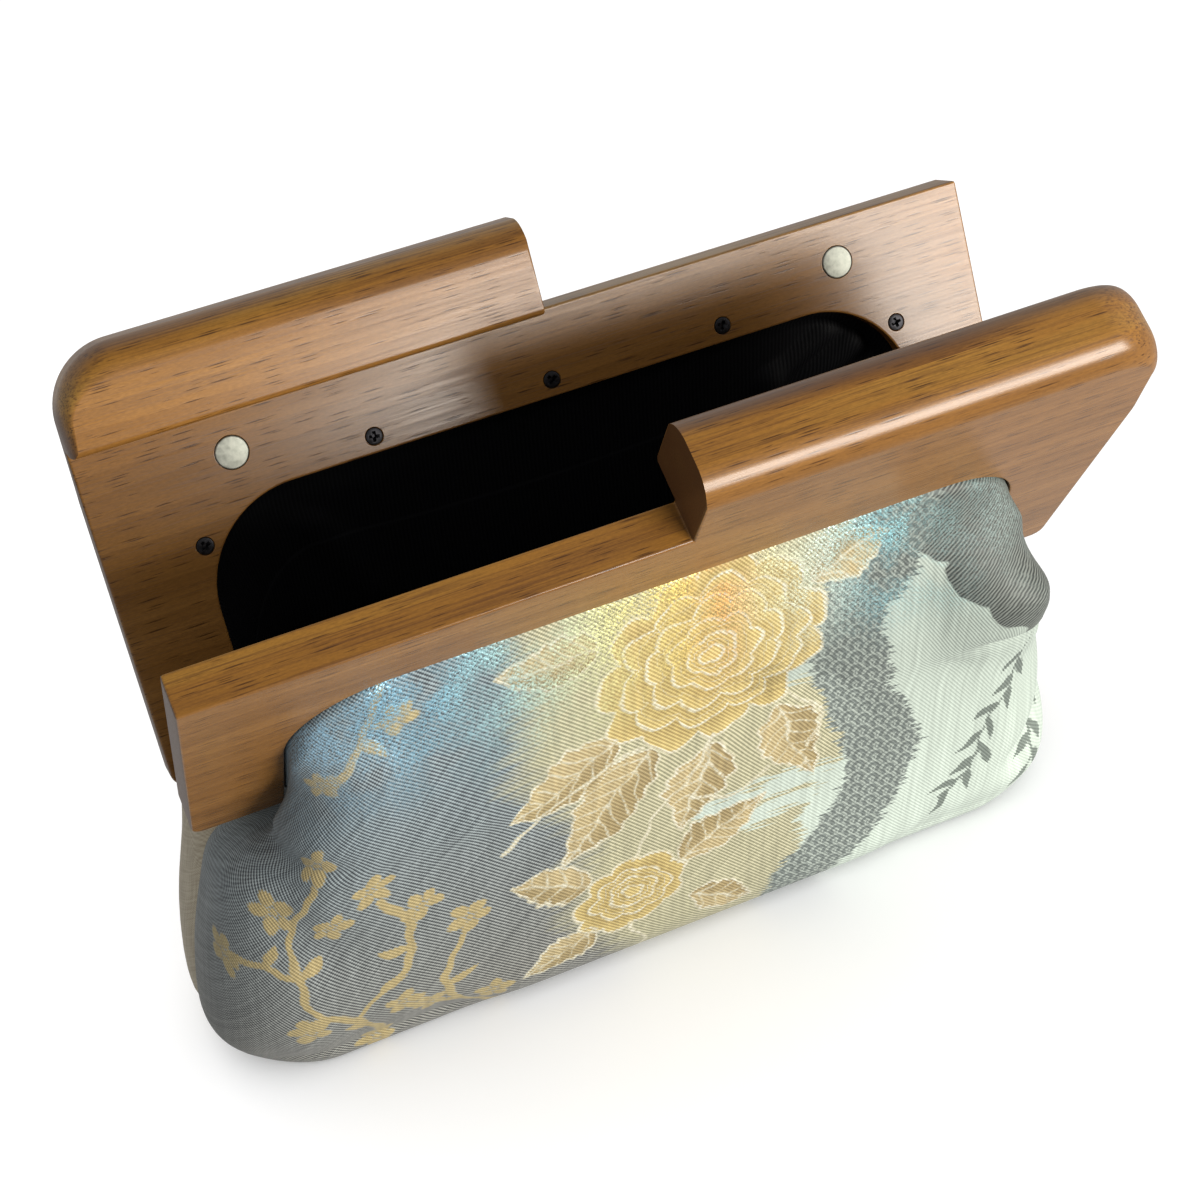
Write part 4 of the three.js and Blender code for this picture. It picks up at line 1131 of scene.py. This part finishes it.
# twill ribs, of the other hand in the grey ground
ribs = []
ribTurns, stitchTurns = 2 * math.pi / brocade["ribPitch"], 2 * math.pi / brocade["stitchPitch"]
for hand in (1, -1):
    acrossWay = (hand * ribSin, ribCos, 0.0)
    acrossRibs = addNode(tree, "VectorMath", {0: inMm, 1: acrossWay}, operation="DOT_PRODUCT")
    ribPhase = addNode(tree, "Math", {0: acrossRibs, 1: ribTurns}, operation="MULTIPLY")
    ribs.append(addNode(tree, "Math", {0: ribPhase}, operation="SINE"))
rib = addNode(tree, "Mix", {0: masks["grey"], 2: ribs[0], 3: ribs[1]}, data_type="FLOAT")
alongRibs = addNode(tree, "VectorMath", {0: inMm, 1: (ribCos, -ribSin, 0.0)}, operation="DOT_PRODUCT")
stitchPhase = addNode(tree, "Math", {0: alongRibs, 1: stitchTurns}, operation="MULTIPLY")
stitch = addNode(tree, "Math", {0: stitchPhase}, operation="SINE")
slubPlace = addNode(tree, "CombineXYZ", {0: alongRibs, 1: acrossRibs})
slubSize = (1 / brocade["slub"][0], 1 / brocade["slub"][1], 0.0)
slubScale = addNode(tree, "VectorMath", {0: slubPlace, 1: slubSize}, operation="MULTIPLY")
slub = addNode(tree, "TexNoise", {"Vector": slubScale, "Scale": 1.0, "Detail": 3.0})
woven = addNode(tree, "Math", {0: stitch, 1: brocade["stitchDepth"], 2: rib}, operation="MULTIPLY_ADD")
slubbed = addNode(tree, "Math", {0: slub, 1: brocade["slubDepth"], 2: woven}, operation="MULTIPLY_ADD")
darkFrom, paleFrom = brocade["threadFrom"]
thread = addNode(tree, "MapRange", {0: slubbed, 1: darkFrom, 2: paleFrom, 3: 0.0, 4: 1.0})
# the warp's own uneven dye: faint streaks running up the cloth
warpSize = (1 / brocade["warpStreak"][0], 1 / brocade["warpStreak"][1], 0.0)
warpScale = addNode(tree, "VectorMath", {0: inMm, 1: warpSize}, operation="MULTIPLY")
warpDye = addNode(tree, "TexNoise", {"Vector": warpScale, "Scale": 1.0, "Detail": 4.0})
deepDye, paleDye = brocade["warpLevels"]
warpShade = addNode(tree, "MapRange", {0: warpDye, 1: 0.3, 2: 0.7, 3: deepDye, 4: paleDye})
# figure edges step from stitch to stitch
stepShift = addNode(tree, "Math", {0: woven, 1: brocade["edgeStep"]}, operation="MULTIPLY")
edgeHalf = brocade["edgeHalf"]
streamCombed, streamFade = brocade["streamEdge"]
figureNames = {"goldWork": ("gold", "leaves", "veins"), "bloomWork": ("bloom", "rings", "stream"),
               "darkWork": ("willow", "petalShade", "leafShade")}
for field, names in figureNames.items():
    read = addNode(tree, "Attribute", attribute_name=field)
    parts = addNode(tree, "SeparateXYZ", {0: read.outputs["Vector"]})
    for k, name in enumerate(names):
        if name.endswith("Shade"):
            masks[name] = parts.outputs[k]
            continue
        if name == "stream":
            moved = addNode(tree, "Math", {
                0: combShift, 1: streamCombed, 2: parts.outputs[k]}, operation="MULTIPLY_ADD")
            masks[name] = addNode(tree, "MapRange", {0: moved, 1: streamFade, 2: -streamFade})
            continue
        moved = addNode(tree, "Math", {0: parts.outputs[k], 1: stepShift}, operation="ADD")
        if name == "rings":
            fromRing = addNode(tree, "Math", {0: moved}, operation="ABSOLUTE")
            moved = addNode(tree, "Math", {0: fromRing, 1: brocade["ringHalf"]}, operation="SUBTRACT")
        masks[name] = addNode(tree, "MapRange", {0: moved, 1: edgeHalf, 2: -edgeHalf})
        if name in ("leaves", "bloom"):
            fromEdge = addNode(tree, "Math", {0: moved}, operation="ABSOLUTE")
            rim = addNode(tree, "Math", {0: fromEdge, 1: brocade["rimHalf"]}, operation="SUBTRACT")
            masks[name + "Rim"] = addNode(tree, "MapRange", {0: rim, 1: edgeHalf, 2: -edgeHalf})
lines = addNode(tree, "Math", {0: masks["rings"], 1: masks["bloom"]}, operation="MULTIPLY")
for name in ("veins", "leavesRim", "bloomRim"):
    lines = addNode(tree, "Math", {0: lines, 1: masks[name]}, operation="MAXIMUM")
# the pale lines are worn through on thin threads
lineWear = addNode(tree, "MapRange", {0: slub, 1: 0.36, 2: 0.52, 3: 0.35, 4: 1.0})
masks["lines"] = addNode(tree, "Math", {0: lines, 1: lineWear}, operation="MULTIPLY")
for fold, shade, whole in (("petalFolds", "petalShade", "bloom"), ("leafFolds", "leafShade", "leaves")):
    masks[fold] = addNode(tree, "Math", {0: masks[shade], 1: masks[whole]}, operation="MULTIPLY")
# wave scales: rows of round scales, half a scale over in each row, each row covering the one behind;
# the nearest row that reaches a point gives its distance from that scale's middle
scaleSize = (1 / figures["scaleRadius"],) * 3
scaleUnit = addNode(tree, "VectorMath", {0: inMm, 1: scaleSize}, operation="MULTIPLY")
scaleParts = addNode(tree, "SeparateXYZ", {0: scaleUnit})
rowsPerRadius = 2.0
rowPlace = addNode(tree, "Math", {0: scaleParts.outputs[1], 1: rowsPerRadius}, operation="MULTIPLY")
rowNumber = addNode(tree, "Math", {0: rowPlace}, operation="FLOOR")
scaleReach = None
for rowsBehind in (2, 1, 0):
    row = addNode(tree, "Math", {0: rowNumber, 1: float(rowsBehind)}, operation="SUBTRACT")
    over = addNode(tree, "Math", {0: scaleParts.outputs[0], 1: row}, operation="ADD")
    aside = addNode(tree, "Math", {0: over, 1: 1.0}, operation="PINGPONG")
    up = addNode(tree, "Math", {
        0: row, 1: -1 / rowsPerRadius, 2: scaleParts.outputs[1]}, operation="MULTIPLY_ADD")
    flat = addNode(tree, "CombineXYZ", {0: aside, 1: up})
    reach = addNode(tree, "VectorMath", {0: flat}, operation="LENGTH")
    if scaleReach is None:
        scaleReach = reach
        continue
    covers = addNode(tree, "Math", {0: reach, 1: 1.0}, operation="LESS_THAN")
    scaleReach = addNode(tree, "Mix", {0: covers, 2: scaleReach, 3: reach}, data_type="FLOAT")
ringTurn = 2 * math.pi * figures["scaleRings"]
ringPhase = addNode(tree, "Math", {0: scaleReach, 1: ringTurn}, operation="MULTIPLY")
scaleRing = addNode(tree, "Math", {0: ringPhase}, operation="COSINE")
scaleMask = addNode(tree, "MapRange", {0: scaleRing, 1: 0.35, 2: -0.25})
masks["scales"] = addNode(tree, "Math", {0: scaleMask, 1: masks["stream"]}, operation="MULTIPLY")
ashStart, ashFull = brocade["ashFrom"]
masks["ash"] = addNode(tree, "MapRange", {0: runs.outputs[1], 1: ashStart, 2: ashFull})
pale, dark = (colour(hexValue) for hexValue in brocade["blue"])
for name, paleHex, darkHex in brocade["layers"]:
    pale = addNode(tree, "Mix", {0: masks[name], 6: pale, 7: colour(paleHex)}, data_type="RGBA")
    dark = addNode(tree, "Mix", {0: masks[name], 6: dark, 7: colour(darkHex)}, data_type="RGBA")
threads = addNode(tree, "Mix", {0: thread, 6: dark, 7: pale}, data_type="RGBA")
# painted light: the celadon ground is painted paler towards the bottom, for the light thrown up onto it from
# the floor
(paintedBounceFrom, paleShare), (paintedBounceTo, deepShare) = brocade["celadonPaintedBounce"]
paintedBounceLevel = addNode(tree, "MapRange", {
    0: runs.outputs[1], 1: paintedBounceFrom, 2: paintedBounceTo, 3: paleShare, 4: deepShare})
celadonPaintedBounce = addNode(tree, "Mix", {0: masks["celadon"], 2: 1.0, 3: paintedBounceLevel}, data_type="FLOAT")
dyeAndPaintedBounce = addNode(tree, "Math", {0: warpShade, 1: celadonPaintedBounce}, operation="MULTIPLY")
ground = addNode(tree, "VectorMath", {0: threads, 3: dyeAndPaintedBounce}, operation="SCALE")
# tinsel: crinkled tinsel threads with painted glints, a painted highlight in bright and dull flecks, painted
# strongest high under the frame where the light catches them, with painted shade in the gaps between
crinkle = addNode(tree, "TexNoise", {
    "Vector": inMm, "Scale": 1 / brocade["tinselAndPaintedGlintGrain"], "Detail": 2.0, "Distortion": 1.2})
patch = addNode(tree, "TexNoise", {"Vector": inMm, "Scale": 1 / brocade["paintedGlintPatch"], "Detail": 3.0})
patchLevel = addNode(tree, "MapRange", {0: patch, 1: 0.36, 2: 0.6})
paintedGlintRead = addNode(tree, "Attribute", attribute_name="paintedGlint")
paintedGlintArea = addNode(tree, "Math", {0: patchLevel, 1: paintedGlintRead.outputs["Fac"]}, operation="MULTIPLY")
sparkShare = addNode(tree, "MapRange", {0: crinkle, 1: 0.43, 2: 0.53, 3: 0.1, 4: 1.0})
paintedGlintSparks = addNode(tree, "Math", {0: paintedGlintArea, 1: sparkShare}, operation="MULTIPLY")
# the grey ground has little tinsel, and takes little of the painted glints
dulled = addNode(tree, "MapRange", {0: masks["grey"], 1: 0.0, 2: 1.0, 3: 1.0, 4: brocade["greyDull"]})
tinselAndPaintedGlint = addNode(tree, "Math", {0: paintedGlintSparks, 1: dulled}, operation="MULTIPLY")
spanStart, spanEnd = brocade["paintedGlintSpan"]
glitterAlong = addNode(tree, "MapRange", {0: runs.outputs[0], 1: spanStart, 2: spanEnd})
paintedGlintTone = addNode(tree, "ValToRGB", {0: glitterAlong})
setRamp(paintedGlintTone, brocade["paintedGlintColours"])
gapShade = addNode(tree, "MapRange", {0: paintedGlintArea, 1: 0.0, 2: 1.0, 3: 1.0, 4: brocade["gapShade"]})
groundWithPaintedGapShade = addNode(tree, "VectorMath", {0: ground, 3: gapShade}, operation="SCALE")
paintedFleckGlint = addNode(tree, "MapRange", {0: crinkle, 1: 0.5, 2: 0.62, 3: 1.0, 4: brocade["paintedFleckGlint"]})
paintedGlintFlecks = addNode(tree, "VectorMath", {0: paintedGlintTone, 3: paintedFleckGlint}, operation="SCALE")
groundAndPaintedGlint = addNode(tree, "Mix", {0: tinselAndPaintedGlint, 6: groundWithPaintedGapShade, 7: paintedGlintFlecks}, data_type="RGBA")
raised = addNode(tree, "Math", {0: lines, 1: masks["gold"]}, operation="MAXIMUM")
relief = addNode(tree, "Math", {0: raised, 1: brocade["lineRelief"], 2: woven}, operation="MULTIPLY_ADD")
sparkRelief = addNode(tree, "Math", {
    0: tinselAndPaintedGlint, 1: brocade["sparkRelief"], 2: relief}, operation="MULTIPLY_ADD")
weaveBump = addNode(tree, "Bump", {
    "Strength": brocade["relief"], "Distance": brocade["reliefHeight"] * mm, "Height": sparkRelief})
(plainRough, tinselRough), (plainMetal, tinselMetal) = brocade["roughness"], brocade["metallic"]
threadRough = addNode(tree, "MapRange", {0: tinselAndPaintedGlint, 1: 0.0, 2: 1.0, 3: plainRough, 4: tinselRough})
threadMetal = addNode(tree, "MapRange", {0: tinselAndPaintedGlint, 1: 0.0, 2: 1.0, 3: plainMetal, 4: tinselMetal})
figuredShader = addNode(tree, "BsdfPrincipled", {
    "Base Color": groundAndPaintedGlint, "Roughness": threadRough, "Metallic": threadMetal, "Normal": weaveBump,
    "Sheen Weight": brocade["sheen"][0], "Sheen Roughness": brocade["sheen"][1]})
addNode(tree, "OutputMaterial", {0: figuredShader})

# plain back cloth: beige cotton canvas, matt with a faint check of thick and thin threads,
# drawn here in 0.9 mm threads, coarser than such a cloth has, so that they show
canvas = {
    "pitch": 0.9, "slub": 14.0, "pale": "#b3a993", "dark": "#877c66", "toneFrom": (0.25, 0.75),
    "checkDepth": 0.2, "checkLevel": -0.1, "slubDepth": 0.6, "relief": 0.5, "reliefHeight": 0.15,
    "roughness": 0.85, "sheen": (0.15, 0.5),
}
beige, tree = newMaterial("cottonCanvas")
canvasPlace = addNode(tree, "UVMap", uv_map="cloth")
threadTurns = (2 * math.pi / (canvas["pitch"] * mm),) * 3
canvasTurns = addNode(tree, "VectorMath", {0: canvasPlace, 1: threadTurns}, operation="MULTIPLY")
canvasSines = addNode(tree, "VectorMath", {0: canvasTurns}, operation="SINE")
canvasWaves = addNode(tree, "SeparateXYZ", {0: canvasSines})
crossing = addNode(tree, "Math", {0: canvasWaves.outputs[0], 1: canvasWaves.outputs[1]}, operation="MULTIPLY")
canvasLevel = addNode(tree, "Math", {
    0: crossing, 1: canvas["checkDepth"], 2: canvas["checkLevel"]}, operation="MULTIPLY_ADD")
# thick and thin threads, weft then warp
for along, across in ((canvas["slub"], canvas["pitch"]), (canvas["pitch"], canvas["slub"])):
    stretch = (1 / (along * mm), 1 / (across * mm), 0.0)
    slubbedRun = addNode(tree, "VectorMath", {0: canvasPlace, 1: stretch}, operation="MULTIPLY")
    slubNoise = addNode(tree, "TexNoise", {"Vector": slubbedRun, "Scale": 1.0, "Detail": 2.0})
    canvasLevel = addNode(tree, "Math", {
        0: slubNoise, 1: canvas["slubDepth"], 2: canvasLevel}, operation="MULTIPLY_ADD")
canvasTone = addNode(tree, "ValToRGB", {0: canvasLevel})
setRamp(canvasTone, tuple(zip(canvas["toneFrom"], (canvas["dark"], canvas["pale"]))))
canvasBump = addNode(tree, "Bump", {
    "Strength": canvas["relief"], "Distance": canvas["reliefHeight"] * mm, "Height": canvasLevel})
canvasShader = addNode(tree, "BsdfPrincipled", {
    "Base Color": canvasTone, "Roughness": canvas["roughness"], "Normal": canvasBump,
    "Sheen Weight": canvas["sheen"][0], "Sheen Roughness": canvas["sheen"][1]})
addNode(tree, "OutputMaterial", {0: canvasShader})

# lining: black polyester faille, woven in ribs that run down, with a low silky sheen on each rib painted in
# as a paler rib crest;
# the ribs are drawn 1.3 mm wide, coarser than such a cloth has, so that they show
faille = {
    "pitch": 1.3, "pale": "#121315", "dark": "#09090b", "toneFrom": (0.2, 0.9),
    "seam": "#17181a", "seamUp": 42.0, "seamWidth": 0.9, "seamCore": 0.4, "seamRelief": 2.0,
    "relief": 0.3, "reliefHeight": 0.15, "roughness": 0.6, "specular": 0.08,
}
black, tree = newMaterial("blackFaille")
faillePlace = addNode(tree, "UVMap", uv_map="cloth")
failleRuns = addNode(tree, "SeparateXYZ", {0: faillePlace})
failleTurns = 2 * math.pi / (faille["pitch"] * mm)
faillePhase = addNode(tree, "Math", {0: failleRuns.outputs[0], 1: failleTurns}, operation="MULTIPLY")
failleRib = addNode(tree, "Math", {0: faillePhase}, operation="SINE")
failleLevel = addNode(tree, "MapRange", {0: failleRib, 1: -1.0, 2: 1.0})
ribToneAndPaintedSheen = addNode(tree, "ValToRGB", {0: failleLevel})
setRamp(ribToneAndPaintedSheen, tuple(zip(faille["toneFrom"], (faille["dark"], faille["pale"]))))
# one stitched seam across the back, below its arch, in relief and painted paler along it: a painted highlight
# on its ridge
seamHalf = faille["seamWidth"] * mm
seamAway = addNode(tree, "Math", {0: failleRuns.outputs[1], 1: faille["seamUp"] * mm}, operation="SUBTRACT")
seamReach = addNode(tree, "Math", {0: seamAway}, operation="ABSOLUTE")
seamMask = addNode(tree, "MapRange", {0: seamReach, 1: seamHalf, 2: faille["seamCore"] * seamHalf})
seamAndPaintedHighlight = addNode(tree, "Mix", {0: seamMask, 6: ribToneAndPaintedSheen, 7: colour(faille["seam"])}, data_type="RGBA")
failleHeight = addNode(tree, "Math", {
    0: seamMask, 1: faille["seamRelief"], 2: failleRib}, operation="MULTIPLY_ADD")
failleBump = addNode(tree, "Bump", {
    "Strength": faille["relief"], "Distance": faille["reliefHeight"] * mm, "Height": failleHeight})
failleShader = addNode(tree, "BsdfPrincipled", {
    "Base Color": seamAndPaintedHighlight, "Roughness": faille["roughness"], "Specular IOR Level": faille["specular"],
    "Normal": failleBump})
addNode(tree, "OutputMaterial", {0: failleShader})

halfTurn = np.array([-1.0, -1.0, 1.0])
shiftRight = np.array([halfFrame["shift"], 0.0, 0.0])
frontGrid = panelGrid(pouch["columns"], pouch["rows"], 1, frontFolds, pouch["flare"]["push"])
frontRuns = clothRuns(frontGrid)
frontMesh = clothMesh("frontPanel", frontGrid + shiftRight, frontRuns)
for field, values in figureFields(frontRuns[0] / mm, frontRuns[1] / mm).items():
    stored = frontMesh.attributes.new(field, "FLOAT_VECTOR", "POINT")
    fields = np.stack([away.ravel() for away in values], -1).clip(-99, 99)  # farther makes no difference
    stored.data.foreach_set("vector", fields.astype(np.float32).ravel())
# painted highlight: the tinsel's painted glints grow stronger up the panel, towards the frame
paintedGlint = frontMesh.attributes.new("paintedGlint", "FLOAT", "POINT")
paintedGlintShare = ease(frontGrid[..., 2], *brocade["paintedGlintHeights"])
paintedGlint.data.foreach_set("value", paintedGlintShare.astype(np.float32).ravel())
frontPanel = newPiece("frontPanel", frontMesh, figured)
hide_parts("front_panel")
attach(frontPanel, "root")
backGrid = panelGrid(pouch["columns"] // 2, pouch["rows"] // 2, -1, backFolds)
backMesh = clothMesh("backPanel", backGrid * halfTurn + shiftRight, clothRuns(backGrid))
backPanel = newPiece("backPanel", backMesh, beige)
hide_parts("back_panel")
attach(backPanel, "root")

# lining: one length of cloth, down the front, under and up the back, just inside the panels;
# it follows their dents alone
insides = []
for facing, folds, turn in ((1, frontFolds, np.ones(3)), (-1, backFolds + liningFolds, halfTurn)):
    dents = [fold for fold in folds if fold["push"] < 0]
    grid = panelGrid(pouch["liningColumns"], pouch["liningRows"], facing, dents)
    insides.append((grid - outwardOf(grid) * pouch["liningDepth"]) * turn)
liningGrid = np.concatenate([insides[0], insides[1][::-1, ::-1]], 1)
liningMesh = clothMesh("liningCloth", liningGrid + shiftRight, clothRuns(liningGrid))
lining = newPiece("liningCloth", liningMesh, black)
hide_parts("lining")
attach(lining, "root")
print("pouch built:", len(frontMesh.polygons), "faces in the front panel")
